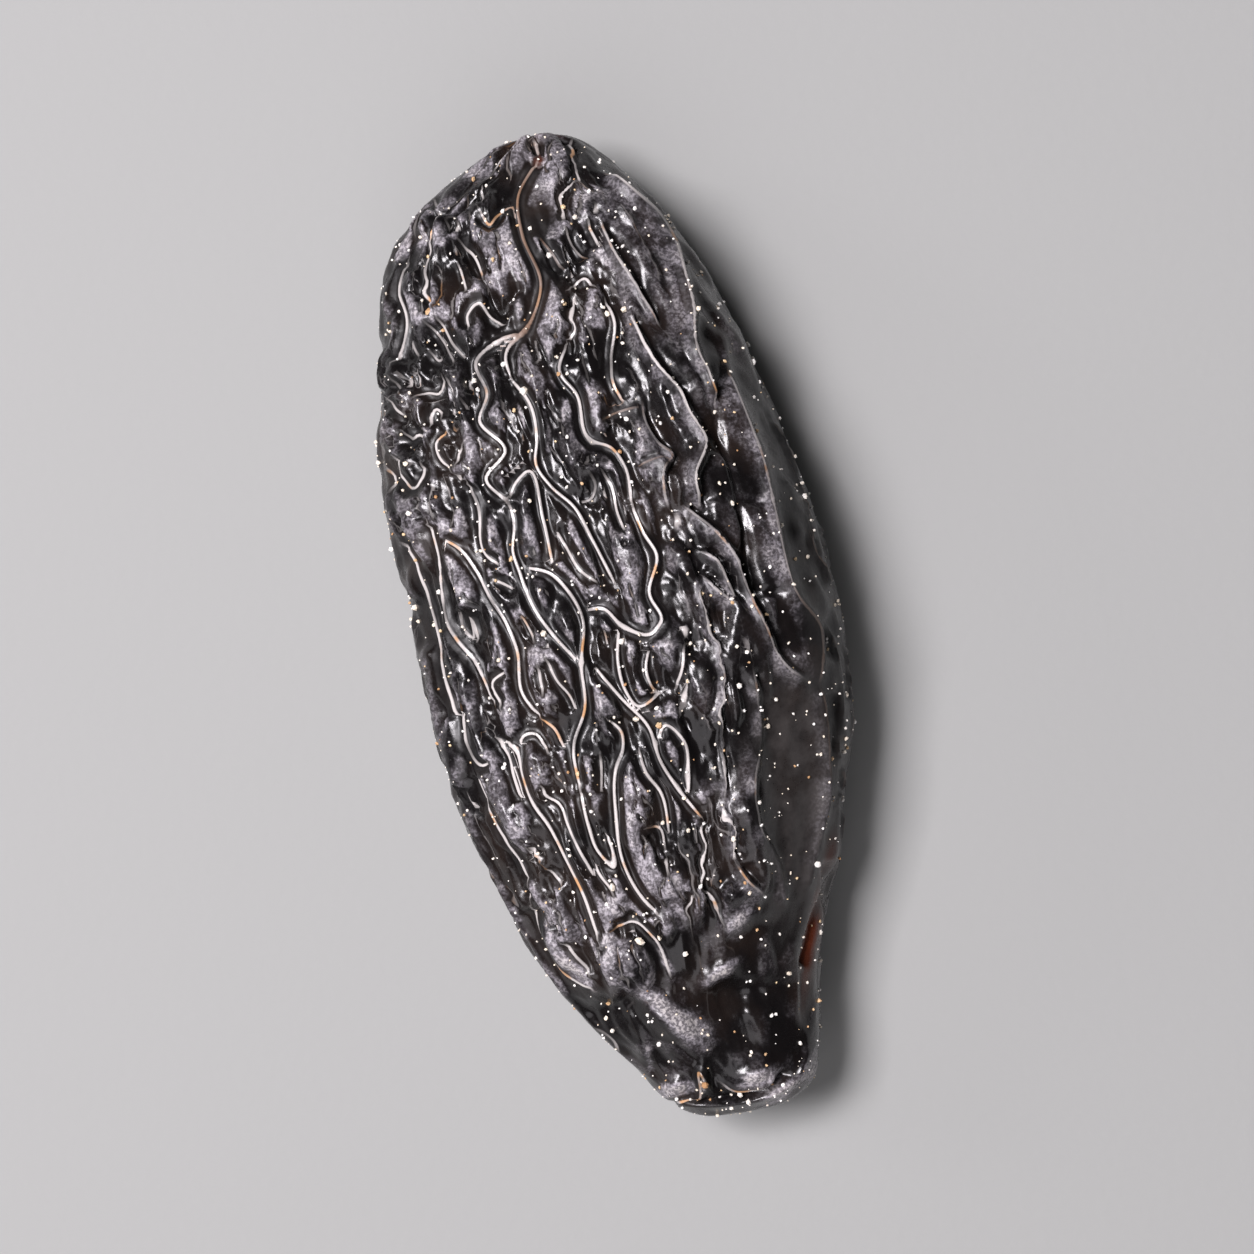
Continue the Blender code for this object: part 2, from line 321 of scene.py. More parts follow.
class SkinMasks:
    """What the skin's finish depends on: the mesh's attributes, noise of several sizes, and mixes of them."""

    def __init__(self, finish: NodeFinish, look: SkinFinish) -> None:
        """Adds the nodes.

        Args:
            finish: The material.
            look: The sizes of the skin's details.
        """
        self.ridge = finish.attribute("ridge")
        self.crest = finish.attribute("crest")
        self.bloom = finish.attribute("bloom")
        self.painted_silver = finish.attribute("painted_silver")
        self.rust = finish.attribute("rust")
        self.tan = finish.attribute("tan")
        self.patches = finish.noise(look.patch_size, detail=3.0)
        self.mottle = finish.noise(look.mottle_size, detail=4.0, roughness=0.6)
        self.line_tone = finish.noise(look.line_tone_size)
        self.grain = finish.noise(look.grain_size, roughness=0.6)
        self.pitting = finish.noise(look.pitting_size, roughness=0.55, stretch=1.6)
        self.pebbles = finish.pebbles(look.pebble_size, 1.3, look.pebble_roundness)
        # the square of the distance from a crest, made less even so that the line on it has no even width
        self.off = self.ridge * self.ridge * (0.35 + 1.3 * self.line_tone) * (1.7 - 0.7 * self.crest)
        bare = 1.0 - self.bloom.between(0.15, 0.60)
        # the pale line along a crest: a painted highlight
        self.line = self.crest.between(0.0, 0.7) * (1.0 - self.off.between(*look.line)) * bare
        # the painted sheen, broken up by noise
        painted_sheen = self.painted_silver * self.patches.between(0.39, 0.47, least=0.20)
        self.painted_sheen = (painted_sheen * self.mottle.between(0.42, 0.54, least=0.40)).between(0.0, 1.0)
        # painted glints where the painted sheen is brightest
        self.glints = self.painted_silver.between(0.9, 1.9) + 0.6 * self.painted_sheen * self.mottle.between(0.53, 0.64)


@dataclass(frozen=True)
class SpeckFinish:
    """A crumb of frost or husk."""

    name: str
    pale: Colour
    deep: Colour
    roughness: float
    tone_size: float = 0.8 * MM
    grain_size: float = 0.03 * MM
    grain_depth: float = 0.008 * MM

    def make(self) -> bpy.types.Material:
        """Builds the material."""
        finish = NodeFinish(self.name)
        tone = finish.noise(self.tone_size, detail=1.0)
        grain = finish.noise(self.grain_size)
        finish.set("Base Color", finish.blend(tone.between(0.35, 0.65), self.pale, self.deep))
        finish.set("Roughness", self.roughness + 0.2 * (grain - 0.5))
        finish.bump(grain, self.grain_depth)
        return finish.material


@dataclass(frozen=True)
class FloorFinish:
    """Pale, matte paper."""

    colour: Colour = (0.270, 0.275, 0.267, 1.0)
    fibre: Colour = (0.2619, 0.26675, 0.25899, 1.0)
    fibre_size: float = 0.5 * MM
    fibre_depth: float = 0.01 * MM
    roughness: float = 0.9

    def make(self) -> bpy.types.Material:
        """Builds the material."""
        finish = NodeFinish("floor")
        fibre = finish.noise(self.fibre_size, detail=3.0)
        finish.set("Base Color", finish.blend(fibre, self.colour, self.fibre))
        finish.set("Roughness", self.roughness - 0.1 * fibre)
        finish.bump(fibre, self.fibre_depth)
        return finish.material


# Small helpers ------------------------------


def eased(share: np.ndarray) -> np.ndarray:
    """A share turned into one that leaves 0 and reaches 1 gently."""
    share = np.clip(share, 0, 1)
    return share**2 * (3 - 2 * share)


def signed_power(value: np.ndarray, power: float) -> np.ndarray:
    """A power that keeps the value's sign."""
    return np.sign(value) * np.abs(value) ** power


def ramp(values: np.ndarray, start: float, run: float) -> np.ndarray:
    """A share that leaves 0 gently where the values pass a start, and reaches 1 after a run."""
    return eased((values - start) / run)


def bell(away: np.ndarray, width: Any, power: float = 2.0) -> np.ndarray:
    """A share that falls from 1 with the distance, and past the width falls fast."""
    return np.exp(-((away / width) ** power))


def smooth_through(at: np.ndarray, stations: Sequence[float], values: Sequence[float]) -> np.ndarray:
    """Cubic interpolation through hand-set values.

    Args:
        at: Where to read.
        stations: Where the values are set, rising.
        values: The values.

    Returns:
        The value at each place.
    """
    stations = np.asarray(stations, float)
    values = np.asarray(values, float)
    slopes = np.gradient(values, stations)
    left = np.clip(np.searchsorted(stations, at) - 1, 0, len(stations) - 2)
    span = stations[left + 1] - stations[left]
    t = np.clip((at - stations[left]) / span, 0, 1)
    return (
        (1 + 2 * t) * (1 - t) ** 2 * values[left]
        + t * (1 - t) ** 2 * span * slopes[left]
        + t**2 * (3 - 2 * t) * values[left + 1]
        + t**2 * (t - 1) * span * slopes[left + 1]
    )


def shares_of_length(*coordinates: np.ndarray) -> np.ndarray:
    """How far along a curve each of its points lies, from 0 to 1."""
    steps = np.sqrt(sum(np.diff(c) ** 2 for c in coordinates))
    reached = np.concatenate([[0.0], np.cumsum(steps)])
    return reached / reached[-1]


# The bean's form ------------------------------


class Fold(NamedTuple):
    """A sharp ridge of the upper side or, with a height below 0, a furrow, by its route in millimetres.

    The height is a share of a full ridge's. The route is seen from above and starts at the bean's middle.
    """

    height: float
    route: tuple


class Roll(NamedTuple):
    """A rounded ridge of the upper side, all in millimetres. Its route runs towards the snout."""

    minus_width: float
    plus_width: float
    height: float
    route: tuple


class Swell(NamedTuple):
    """A rounded lump or, with a height below 0, a dent in the upper side, in millimetres and degrees."""

    x: float
    y: float
    half_length: float
    half_width: float
    turn: float
    height: float

    def share(self, plan: np.ndarray, squareness: float = 2.0) -> np.ndarray:
        """How fully it covers each point.

        Args:
            plan: Points seen from above, in millimetres.
            squareness: 2 for a round top, and more for a flat one with steep sides.

        Returns:
            Shares from 0 to 1.
        """
        turn = math.radians(self.turn)
        x = plan[:, 0] - self.x
        y = plan[:, 1] - self.y
        length = np.abs(x * math.cos(turn) + y * math.sin(turn)) / self.half_length
        width = np.abs(y * math.cos(turn) - x * math.sin(turn)) / self.half_width
        return np.exp(-(length**squareness + width**squareness))


# The ridges, and the furrows
FOLDS = (
    # the long ridges of the middle, from -X to +X
    Fold(0.9, ((-6.6, 5.1), (-6.55, 3.9), (-6.7, 2.8), (-6.7, 1.4), (-6.4, 0.7), (-6.0, 0.0),
               (-5.8, -0.6), (-5.5, -1.9))),
    Fold(0.5, ((-6.2, 2.0), (-6.25, 1.2), (-5.95, 0.7), (-5.85, 1.5), (-5.7, 0.4))),
    Fold(0.9, ((-5.0, 6.3), (-4.75, 5.4), (-4.8, 3.6), (-4.3, 3.1))),
    Fold(1.0, ((-6.3, 4.5), (-5.8, 4.1), (-5.3, 3.2), (-4.9, 2.0), (-4.5, 1.0), (-4.3, 0.0), (-4.4, -1.6),
               (-3.9, -2.6))),
    Fold(1.0, ((-3.9, -2.6), (-3.5, -3.0), (-3.25, -3.9))),
    Fold(0.7, ((-4.9, 2.8), (-4.3, 2.4), (-3.9, 2.05))),
    Fold(0.5, ((-4.0, 1.4), (-3.75, 0.7), (-3.6, 0.1))),
    Fold(1.0, ((-1.9, 11.4), (-3.1, 11.2), (-3.9, 10.6), (-3.7, 9.3), (-4.15, 8.5), (-3.4, 7.2),
               (-4.3, 6.3), (-3.6, 5.3))),
    Fold(1.0, ((-3.6, 5.3), (-3.55, 4.6), (-3.8, 3.5), (-3.7, 2.8), (-3.3, 1.1), (-2.9, 0.3),
               (-2.1, -0.95))),
    Fold(0.9, ((-3.6, 5.4), (-3.2, 6.0), (-2.75, 6.3), (-2.5, 4.5), (-2.45, 2.7))),
    Fold(0.4, ((-3.8, 6.1), (-3.2, 6.5), (-2.6, 6.8))),
    Fold(1.0, ((-0.35, 17.8), (-1.3, 16.5), (-1.4, 15.0), (-1.05, 13.0), (-1.6, 11.8), (-2.8, 10.6),
               (-2.75, 9.8))),
    Fold(1.0, ((-2.75, 9.8), (-2.2, 8.6), (-2.2, 7.4), (-2.4, 6.5), (-2.0, 5.6), (-1.3, 4.7), (-0.9, 3.5),
               (-0.35, 1.7))),
    Fold(0.5, ((-2.2, 4.2), (-1.85, 3.3), (-1.5, 2.4), (-0.9, 1.8))),
    Fold(0.4, ((-1.9, 6.1), (-1.6, 5.2), (-1.15, 4.9), (-0.7, 4.9), (-0.4, 5.4), (-0.6, 5.9))),
    Fold(1.0, ((-0.55, 10.6), (-0.95, 9.7), (-0.5, 8.8), (-0.3, 7.0), (0.4, 6.6), (0.75, 5.9),
               (0.75, 4.4))),
    Fold(1.0, ((0.75, 4.4), (1.0, 3.3), (1.3, 2.5), (0.8, 1.1), (1.05, 0.1), (0.6, -0.3), (-0.4, 0.2),
               (-0.95, 0.9), (-1.75, 0.95))),
    Fold(0.6, ((-0.1, 5.85), (0.15, 5.3), (0.2, 4.2), (0.35, 3.4))),
    Fold(1.0, ((-3.5, 2.9), (-2.6, 2.5), (-2.1, 1.8), (-1.75, 0.8), (-2.1, -1.0), (-2.24, -2.5),
               (-2.9, -3.8), (-2.95, -5.4))),
    Fold(1.0, ((-2.95, -5.4), (-2.9, -6.8), (-2.75, -7.7), (-2.25, -8.4), (-2.2, -7.8), (-2.35, -7.1))),
    Fold(0.7, ((-5.15, -2.0), (-5.4, -1.0), (-4.7, -0.65))),
    Fold(0.5, ((-3.6, -0.6), (-3.65, -1.3), (-3.6, -1.9))),
    Fold(0.5, ((-3.3, -0.4), (-3.05, -1.4), (-2.7, -2.0), (-2.55, -2.8))),
    Fold(1.0, ((-5.45, -3.1), (-5.0, -3.6), (-4.95, -4.5), (-4.7, -5.8), (-4.4, -6.4), (-3.9, -8.0),
               (-3.6, -9.0), (-3.3, -10.9))),
    Fold(0.9, ((-5.7, -3.0), (-5.35, -3.7), (-5.3, -4.5), (-5.15, -5.6))),
    Fold(0.8, ((-5.0, -3.6), (-4.6, -3.1), (-4.3, -3.1), (-3.85, -3.9))),
    Fold(0.7, ((-4.25, -4.9), (-4.25, -5.4), (-3.85, -5.8), (-3.65, -6.5), (-3.55, -7.0), (-3.2, -8.2),
               (-3.0, -8.8))),
    Fold(0.6, ((-3.0, -8.0), (-2.9, -8.5), (-2.4, -9.4))),
    Fold(0.5, ((-4.8, -8.0), (-4.2, -8.9))),
    Fold(1.0, ((-1.45, -3.1), (-1.1, -3.6), (-1.15, -4.2), (-1.5, -4.8), (-1.85, -6.6), (-1.9, -8.3),
               (-1.4, -9.8), (-1.0, -10.4))),
    Fold(0.5, ((-2.0, -4.2), (-2.1, -5.0), (-2.25, -5.8))),
    Fold(1.0, ((-0.5, 0.2), (-0.77, -1.2), (-0.7, -2.1), (-0.35, -2.8), (0.6, -2.45))),
    Fold(0.8, ((0.45, -0.8), (0.2, -1.5), (0.25, -2.1), (0.45, -2.5))),
    Fold(0.8, ((1.65, -0.9), (1.5, -1.6), (1.15, -2.4))),
    Fold(1.0, ((-1.65, -1.1), (-0.85, -2.45), (-0.1, -3.6), (0.1, -4.9), (0.55, -6.0), (1.2, -7.2))),
    Fold(0.9, ((0.05, -4.3), (0.5, -3.65), (1.05, -4.3), (1.0, -5.6), (0.85, -6.5))),
    Fold(0.8, ((-0.6, -4.3), (-0.5, -5.2), (-0.1, -6.0), (-0.05, -7.7))),
    Fold(0.5, ((-0.8, -7.2), (-0.4, -7.3), (-0.3, -8.2))),
    # the -X margin
    Fold(0.8, ((-7.9, 4.7), (-7.5, 3.7), (-7.3, 2.3), (-7.2, 1.0), (-7.15, -1.0), (-7.05, -2.2))),
    Fold(0.8, ((-6.8, -1.7), (-6.8, -3.1), (-6.3, -3.95), (-5.95, -3.8))),
    Fold(0.4, ((-1.05, 0.3), (-1.0, -0.8))),
    Fold(0.6, ((-6.8, -4.1), (-6.6, -5.0), (-6.3, -6.0), (-5.9, -7.2), (-5.5, -8.6))),
    Fold(0.8, ((-5.9, 15.0), (-6.4, 13.9), (-6.25, 12.9), (-6.85, 11.2))),
    Fold(0.6, ((-5.0, 12.5), (-4.6, 11.4), (-4.1, 10.6))),
    Fold(0.5, ((-5.4, 12.4), (-4.9, 11.4), (-4.6, 10.5))),
    # its curly loops
    Fold(0.4, ((-8.0, 10.5), (-8.2, 10.1), (-8.25, 9.5))),
    Fold(0.6, ((-7.55, 10.7), (-7.8, 10.3), (-7.95, 9.75))),
    Fold(0.5, ((-7.35, 10.15), (-7.25, 9.75), (-7.1, 9.45), (-6.85, 9.25), (-6.75, 9.4))),
    Fold(0.5, ((-7.55, 9.8), (-7.65, 9.55), (-7.75, 9.25))),
    Fold(0.6, ((-6.95, 10.7), (-6.9, 10.35), (-6.7, 10.0))),
    Fold(0.5, ((-6.4, 9.8), (-5.95, 9.9), (-5.55, 9.8), (-5.25, 10.25), (-5.2, 10.5))),
    Fold(0.6, ((-5.95, 8.5), (-5.95, 9.0), (-5.75, 9.25), (-5.55, 9.05), (-5.5, 8.8))),
    Fold(0.6, ((-7.05, 8.65), (-6.85, 8.35), (-6.6, 8.45), (-6.3, 8.1))),
    Fold(0.7, ((-5.35, 8.35), (-5.9, 7.95), (-5.85, 7.4), (-5.5, 6.85))),
    Fold(0.6, ((-4.85, 7.75), (-5.1, 7.5), (-5.3, 6.95))),
    Fold(0.5, ((-5.45, 8.0), (-5.5, 7.55))),
    Fold(0.7, ((-7.7, 8.35), (-8.0, 8.0), (-8.0, 7.5), (-7.8, 7.1), (-7.95, 6.6))),
    Fold(0.6, ((-7.6, 7.95), (-7.55, 7.45), (-7.3, 6.9), (-7.0, 6.5), (-6.65, 6.8), (-6.6, 7.4))),
    Fold(0.5, ((-7.3, 7.65), (-7.2, 7.1))),
    Fold(0.5, ((-6.95, 7.6), (-6.9, 7.2))),
    Fold(0.5, ((-5.1, 8.5), (-5.15, 8.3), (-4.9, 8.3))),
    Fold(0.5, ((-4.6, 9.35), (-4.45, 8.7))),
    Fold(0.5, ((-6.3, 12.3), (-6.2, 11.6), (-5.9, 11.1))),
    Fold(0.5, ((-5.6, 11.5), (-5.3, 11.0), (-5.0, 11.2))),
    # the upper end
    Fold(0.7, ((-2.8, 16.2), (-2.5, 15.6), (-2.2, 15.9), (-1.6, 16.15), (-1.55, 15.3))),
    Fold(0.6, ((-3.75, 15.3), (-3.3, 14.6), (-3.1, 13.6))),
    Fold(0.6, ((-3.95, 14.5), (-3.75, 13.1))),
    Fold(0.6, ((-3.9, 11.7), (-3.9, 12.4), (-3.4, 12.75), (-3.1, 12.2), (-2.5, 11.7))),
    Fold(0.5, ((-0.8, 14.9), (-0.4, 14.1), (-0.1, 13.4))),
    Fold(0.7, ((0.0, 12.7), (0.6, 13.0), (0.85, 12.5))),
    Fold(0.5, ((0.2, 15.0), (0.35, 14.4), (0.8, 13.6))),
    Fold(0.8, ((1.15, 12.1), (1.35, 11.2), (1.0, 9.8), (0.9, 8.9), (1.2, 8.1))),
    Fold(0.6, ((1.05, 15.1), (1.2, 14.5), (1.35, 13.9))),
    Fold(0.5, ((1.5, 15.0), (1.85, 13.4), (2.3, 12.3), (3.0, 10.7))),
    Fold(0.9, ((1.9, 11.2), (2.2, 10.0), (2.5, 9.2), (3.1, 8.2), (3.35, 7.2), (3.7, 6.2), (3.1, 5.0),
               (3.15, 3.9))),
    # the flatter ones of the +X side
    Fold(0.35, ((0.1, 7.5), (0.6, 7.8), (1.3, 7.9), (1.8, 7.8))),
    Fold(0.4, ((1.8, 8.1), (1.8, 7.2), (2.1, 6.4), (2.5, 5.9), (2.1, 5.5), (1.95, 4.9), (2.05, 4.0))),
    Fold(0.35, ((1.0, 5.7), (1.7, 5.85), (2.5, 5.9))),
    Fold(0.45, ((2.5, 4.1), (3.1, 3.4), (3.6, 2.7), (4.05, 1.8), (4.3, 0.8), (4.6, -0.6), (5.0, -1.8),
                (5.6, -2.7), (6.0, -3.0))),
    Fold(0.6, ((2.9, 2.3), (3.35, 1.9), (3.6, 1.1), (3.8, 0.3))),
    Fold(0.55, ((2.8, 1.4), (3.2, 0.8), (3.8, 0.2))),
    Fold(0.8, ((2.2, 17.0), (3.0, 16.0), (3.8, 14.9), (4.2, 13.7), (4.3, 12.6), (4.35, 11.2), (4.2, 10.0),
               (4.6, 7.5))),
    Fold(0.3, ((3.0, 17.0), (3.8, 15.8), (4.8, 13.8), (5.25, 12.6), (5.6, 10.9), (5.8, 9.1))),
    Fold(0.5, ((5.3, 8.8), (5.7, 6.9), (5.9, 5.7), (6.0, 4.5), (6.05, 2.4), (6.2, 0.4), (6.85, -1.2),
               (6.55, -3.3))),
    Fold(0.4, ((6.55, -3.3), (6.5, -5.6), (6.0, -7.8), (4.8, -10.9))),
    Fold(0.4, ((3.9, -2.1), (3.95, -4.6), (3.4, -6.2), (3.15, -7.8), (3.8, -9.5), (3.85, -11.2))),
    Fold(0.5, ((4.0, 15.3), (4.9, 13.7), (5.4, 12.6), (5.9, 10.5), (6.4, 8.7), (6.9, 7.3))),
    # the snout
    Fold(0.6, ((-5.6, -9.4), (-5.4, -11.0), (-4.7, -12.4), (-3.9, -13.0))),
    Fold(0.5, ((-4.6, -10.7), (-4.3, -11.4), (-3.9, -12.4))),
    Fold(0.6, ((-2.8, -10.7), (-1.9, -10.6), (-1.3, -11.3), (-0.95, -12.9))),
    Fold(0.4, ((-5.2, -13.0), (-4.7, -14.2), (-3.7, -15.0), (-3.4, -16.0), (-2.9, -17.1))),
    Fold(0.6, ((-2.6, -17.4), (-2.2, -17.95), (-1.4, -18.0), (-0.85, -17.9), (-0.6, -16.7), (-0.3, -17.5))),
    Fold(0.5, ((0.1, -17.3), (0.6, -17.75), (1.3, -17.85), (2.0, -17.75), (2.3, -17.3))),
    Fold(0.5, ((2.1, -9.1), (2.35, -9.7), (2.9, -10.4))),
    # furrows: between the facets of the +X side, round the shoulder, over the snout, and the split by it
    Fold(-0.6, ((4.4, 4.2), (5.2, 3.85), (6.1, 3.8))),
    Fold(-0.6, ((4.7, 0.6), (5.4, 0.35), (6.2, 0.4))),
    Fold(-0.6, ((4.6, 8.0), (4.5, 6.5), (4.7, 3.0), (4.75, 0.6), (5.3, -1.4))),
    Fold(-0.8, ((-4.3, 15.2), (-3.6, 16.4), (-2.4, 17.0))),
    Fold(-0.8, ((-3.7, 15.4), (-3.5, 14.3), (-3.1, 13.5), (-2.6, 12.3), (-2.1, 12.8), (-1.6, 13.2))),
    Fold(-0.7, ((-1.05, 14.1), (-0.4, 13.5), (-0.25, 12.8))),
    Fold(-0.7, ((-2.2, -17.9), (-0.4, -18.1), (1.6, -18.05), (3.0, -17.4))),
    Fold(-0.9, ((5.8, -9.8), (5.7, -11.0), (4.95, -12.2), (4.2, -13.9))),
)

# Where a ridge's pale line widens to a little web
WEBS = (
    Swell(-5.55, -3.3, 0.3, 0.22, 0.0, 1.0),
    Swell(-2.1, -0.85, 0.28, 0.18, 0.0, 1.0),
    Swell(-2.25, -8.2, 0.3, 0.2, 90.0, 1.0),
    Swell(0.8, -5.6, 0.5, 0.22, 70.0, 1.0),
    Swell(0.2, -4.2, 0.28, 0.2, 40.0, 1.0),
    Swell(-3.65, 5.4, 0.3, 0.22, 40.0, 1.0),
    Swell(-0.3, 6.8, 0.3, 0.18, 90.0, 1.0),
    Swell(-0.35, 0.1, 0.35, 0.18, -40.0, 1.0),
    Swell(-5.0, -3.5, 0.25, 0.18, 0.0, 1.0),
    Swell(0.45, -2.4, 0.25, 0.16, 0.0, 1.0),
    Swell(-2.9, 11.1, 0.6, 0.16, 10.0, 1.0),
    Swell(-1.9, 11.3, 0.5, 0.2, 30.0, 0.8),
)

# The rounded ridges: round the rounded end, along the +X side, and over the snout's lip
ROLLS = (
    Roll(1.5, 0.5, 0.9, ((0.4, 18.1), (2.2, 17.1), (3.4, 15.2), (4.2, 13.2), (4.25, 11.0), (4.2, 9.4),
                         (4.5, 8.0))),
    Roll(0.5, 0.5, 0.35, ((-0.6, 17.0), (-0.5, 15.6), (0.0, 14.6))),
    Roll(1.5, 0.4, 0.8, ((4.9, 10.4), (5.3, 8.8), (5.7, 6.9), (5.9, 5.7), (6.0, 4.5), (5.95, 3.4),
                         (6.1, 1.7), (6.3, 0.3), (6.4, -1.2), (6.45, -4.3))),
    Roll(0.4, 0.6, 0.4, ((-5.0, 16.0), (-6.0, 14.5))),
    Roll(0.5, 0.4, 0.4, ((-1.6, 18.0), (-3.3, 17.3), (-4.4, 16.3))),
    Roll(0.6, 0.3, 0.4, ((2.4, -4.0), (3.05, -5.2), (3.0, -6.1), (2.3, -6.8), (1.7, -7.1))),
    Roll(0.45, 0.3, 0.3, ((-0.7, -9.7), (-0.2, -10.6), (-0.3, -11.8), (-0.4, -13.3))),
    Roll(0.25, 0.35, 0.6, ((-2.7, -17.0), (-1.8, -18.0), (0.3, -18.5), (2.2, -18.4), (3.4, -17.8),
                           (4.1, -16.5))),
)

# The lumps and dents
SWELLS = (
    # the saddle and the boss of the snout, with the lumps under it
    Swell(-3.2, -13.7, 1.8, 0.6, 15.0, -0.7),
    Swell(1.5, -14.1, 2.2, 0.6, -8.0, -0.6),
    Swell(-1.4, -14.5, 1.9, 0.75, -52.0, 0.95),
    Swell(-2.7, -15.9, 0.9, 0.35, 75.0, 0.4),
    Swell(-1.7, -17.2, 0.7, 0.45, 10.0, 0.5),
    Swell(-0.5, -17.1, 0.7, 0.25, 80.0, 0.45),
    Swell(1.5, -17.3, 0.9, 0.45, 5.0, 0.5),
    Swell(0.9, -15.6, 1.4, 0.7, -10.0, -0.3),
    # bulges above the snout
    Swell(-4.6, -11.7, 1.4, 0.55, -62.0, 0.4),
    Swell(1.8, -11.4, 0.6, 0.45, 30.0, 0.4),
    Swell(1.7, -10.2, 0.4, 0.35, 0.0, 0.3),
    Swell(3.2, -9.7, 0.6, 0.4, 75.0, 0.35),
    Swell(3.0, -11.2, 0.5, 0.4, 0.0, 0.3),
    Swell(0.9, -13.1, 1.0, 0.35, 22.0, 0.35),
    Swell(-0.2, -9.3, 0.45, 0.35, 80.0, 0.3),
    # hollows beside the smooth patch
    Swell(1.9, -5.4, 0.9, 0.6, 90.0, -0.35),
    Swell(2.2, -8.4, 1.0, 0.5, 100.0, -0.3),
    # the knob of the shoulder, and the tip and the knot of the rounded end
    Swell(-4.7, 15.95, 0.35, 0.28, 0.0, 0.3),
    Swell(-2.6, 15.9, 0.35, 0.3, 0.0, 0.25),
    Swell(-1.75, 15.9, 0.3, 0.3, 0.0, 0.25),
    Swell(-0.3, 17.8, 0.28, 0.25, 45.0, 0.3),
)

# Where the skin stayed smooth, on the +X flank and by the rounded end, and the margin with curly wrinkles
SMOOTH_PATCH = Swell(4.85, -7.4, 4.7, 1.45, 84.5, 1.0)
SMOOTH_WEDGE = Swell(-0.45, 15.9, 1.3, 0.45, 98.0, 0.7)
CURLY_MARGIN = Swell(-6.3, 9.2, 2.2, 1.9, 90.0, 1.0)

# Where the painted highlights are brightest: on the snout's boss, lumps and lip, and on three cells of the +X
# side
PAINTED_HIGHLIGHTS = (
    Swell(-1.35, -14.05, 1.35, 0.42, -49.0, 1.0),
    Swell(-0.45, -15.25, 1.0, 0.75, -49.0, 0.62),
    Swell(-2.4, -15.9, 0.8, 0.18, 78.0, 0.8),
    Swell(-1.7, -17.35, 0.9, 0.38, 5.0, 1.0),
    Swell(-0.5, -17.2, 0.5, 0.16, 80.0, 0.9),
    Swell(1.6, -17.35, 1.0, 0.38, 5.0, 1.0),
    Swell(-4.55, -11.9, 1.2, 0.32, -60.0, 1.0),
    Swell(-1.05, -12.2, 0.8, 0.2, -72.0, 0.9),
    Swell(1.95, -11.2, 0.8, 0.45, 60.0, 1.0),
    Swell(3.25, -9.8, 0.6, 0.36, 80.0, 1.0),
    Swell(0.9, -13.15, 0.9, 0.26, 24.0, 1.0),
    Swell(-0.1, -9.3, 0.4, 0.28, 80.0, 0.9),
    Swell(2.6, -18.25, 1.3, 0.32, 22.0, 1.0),
    Swell(4.0, -17.1, 0.9, 0.28, 68.0, 0.8),
    Swell(5.5, 2.2, 1.6, 0.4, 92.0, 0.85),
    Swell(3.5, 14.1, 1.8, 0.4, -72.0, 0.6),
    Swell(3.1, 1.6, 0.8, 0.35, -65.0, 0.7),
)

# Where the crests are brown: down the fold from the knot of the rounded end, and where it forks
BROWNED = (
    Swell(-0.9, 15.2, 3.4, 0.9, 85.0, 1.0),
    Swell(-1.9, 11.5, 0.9, 0.5, 20.0, 0.8),
    Swell(1.0, 7.9, 1.0, 0.4, 0.0, 0.8),
    Swell(2.0, 5.9, 0.9, 0.4, 0.0, 0.8),
)

# Where the skin is rusty: the split by the snout, and the tip and the knot of the rounded end
RUSTY = (
    Swell(5.1, -11.9, 2.2, 0.25, 69.0, 1.0),
    Swell(0.3, 18.8, 1.1, 0.2, 0.0, 0.25),
    Swell(-0.3, 17.8, 0.2, 0.18, 0.0, 0.5),
)

ROUTE_STEPS = 6  # for each corner of a route


def route_points(route: tuple) -> np.ndarray:
    """A route as a smooth curve of short steps, in millimetres."""
    corners = np.array(route)
    reached = np.concatenate([[0.0], np.cumsum(np.hypot(*np.diff(corners, axis=0).T))])
    at = np.linspace(0, reached[-1], ROUTE_STEPS * len(route))
    return np.stack([smooth_through(at, reached, corners[:, axis]) for axis in (0, 1)], axis=1)


def beside_route(plan: np.ndarray, route: tuple, reach: float = 2.0) -> tuple[np.ndarray, np.ndarray]:
    """Where points lie from a route, seen from above. All is in millimetres.

    Args:
        plan: The points.
        route: The route.
        reach: How far to look. Points further off get this distance.

    Returns:
        The distance from the route, below 0 on one side of it, and how far along it the nearest end is.
    """
    curve = route_points(route)
    steps = np.diff(curve, axis=0)
    lengths = np.hypot(*steps.T)
    reached = np.concatenate([[0.0], np.cumsum(lengths)])
    inside = np.all((plan > curve.min(axis=0) - reach) & (plan < curve.max(axis=0) + reach), axis=1)
    near = plan[inside]
    nearest = np.full(len(near), reach)
    side = np.ones(len(near))
    place = np.zeros(len(near))
    for start, step, length, before in zip(curve, steps, lengths, reached):
        x, y = (near - start).T
        share = np.clip((x * step[0] + y * step[1]) / length**2, 0, 1)
        away = np.hypot(x - share * step[0], y - share * step[1])
        closer = away < nearest
        nearest = np.where(closer, away, nearest)
        side = np.where(closer, np.sign(x * step[1] - y * step[0]), side)
        place = np.where(closer, before + share * length, place)
    offset = np.full(len(plan), reach)
    from_end = np.zeros(len(plan))
    offset[inside] = nearest * np.where(side < 0, -1, 1)
    from_end[inside] = np.minimum(place, reached[-1] - place)
    return offset, from_end


def beside_folds(plan: np.ndarray, raised: bool) -> Iterator[tuple[float, np.ndarray, np.ndarray]]:
    """Where points lie from each ridge or, if not raised, from each furrow.

    Args:
        plan: Points seen from above, in millimetres.
        raised: True for the ridges, False for the furrows.

    Yields:
        The ridge's height or the furrow's depth, and what beside_route says of it.
    """
    for fold in FOLDS:
        if (fold.height > 0) == raised:
            yield abs(fold.height), *beside_route(plan, fold.route)


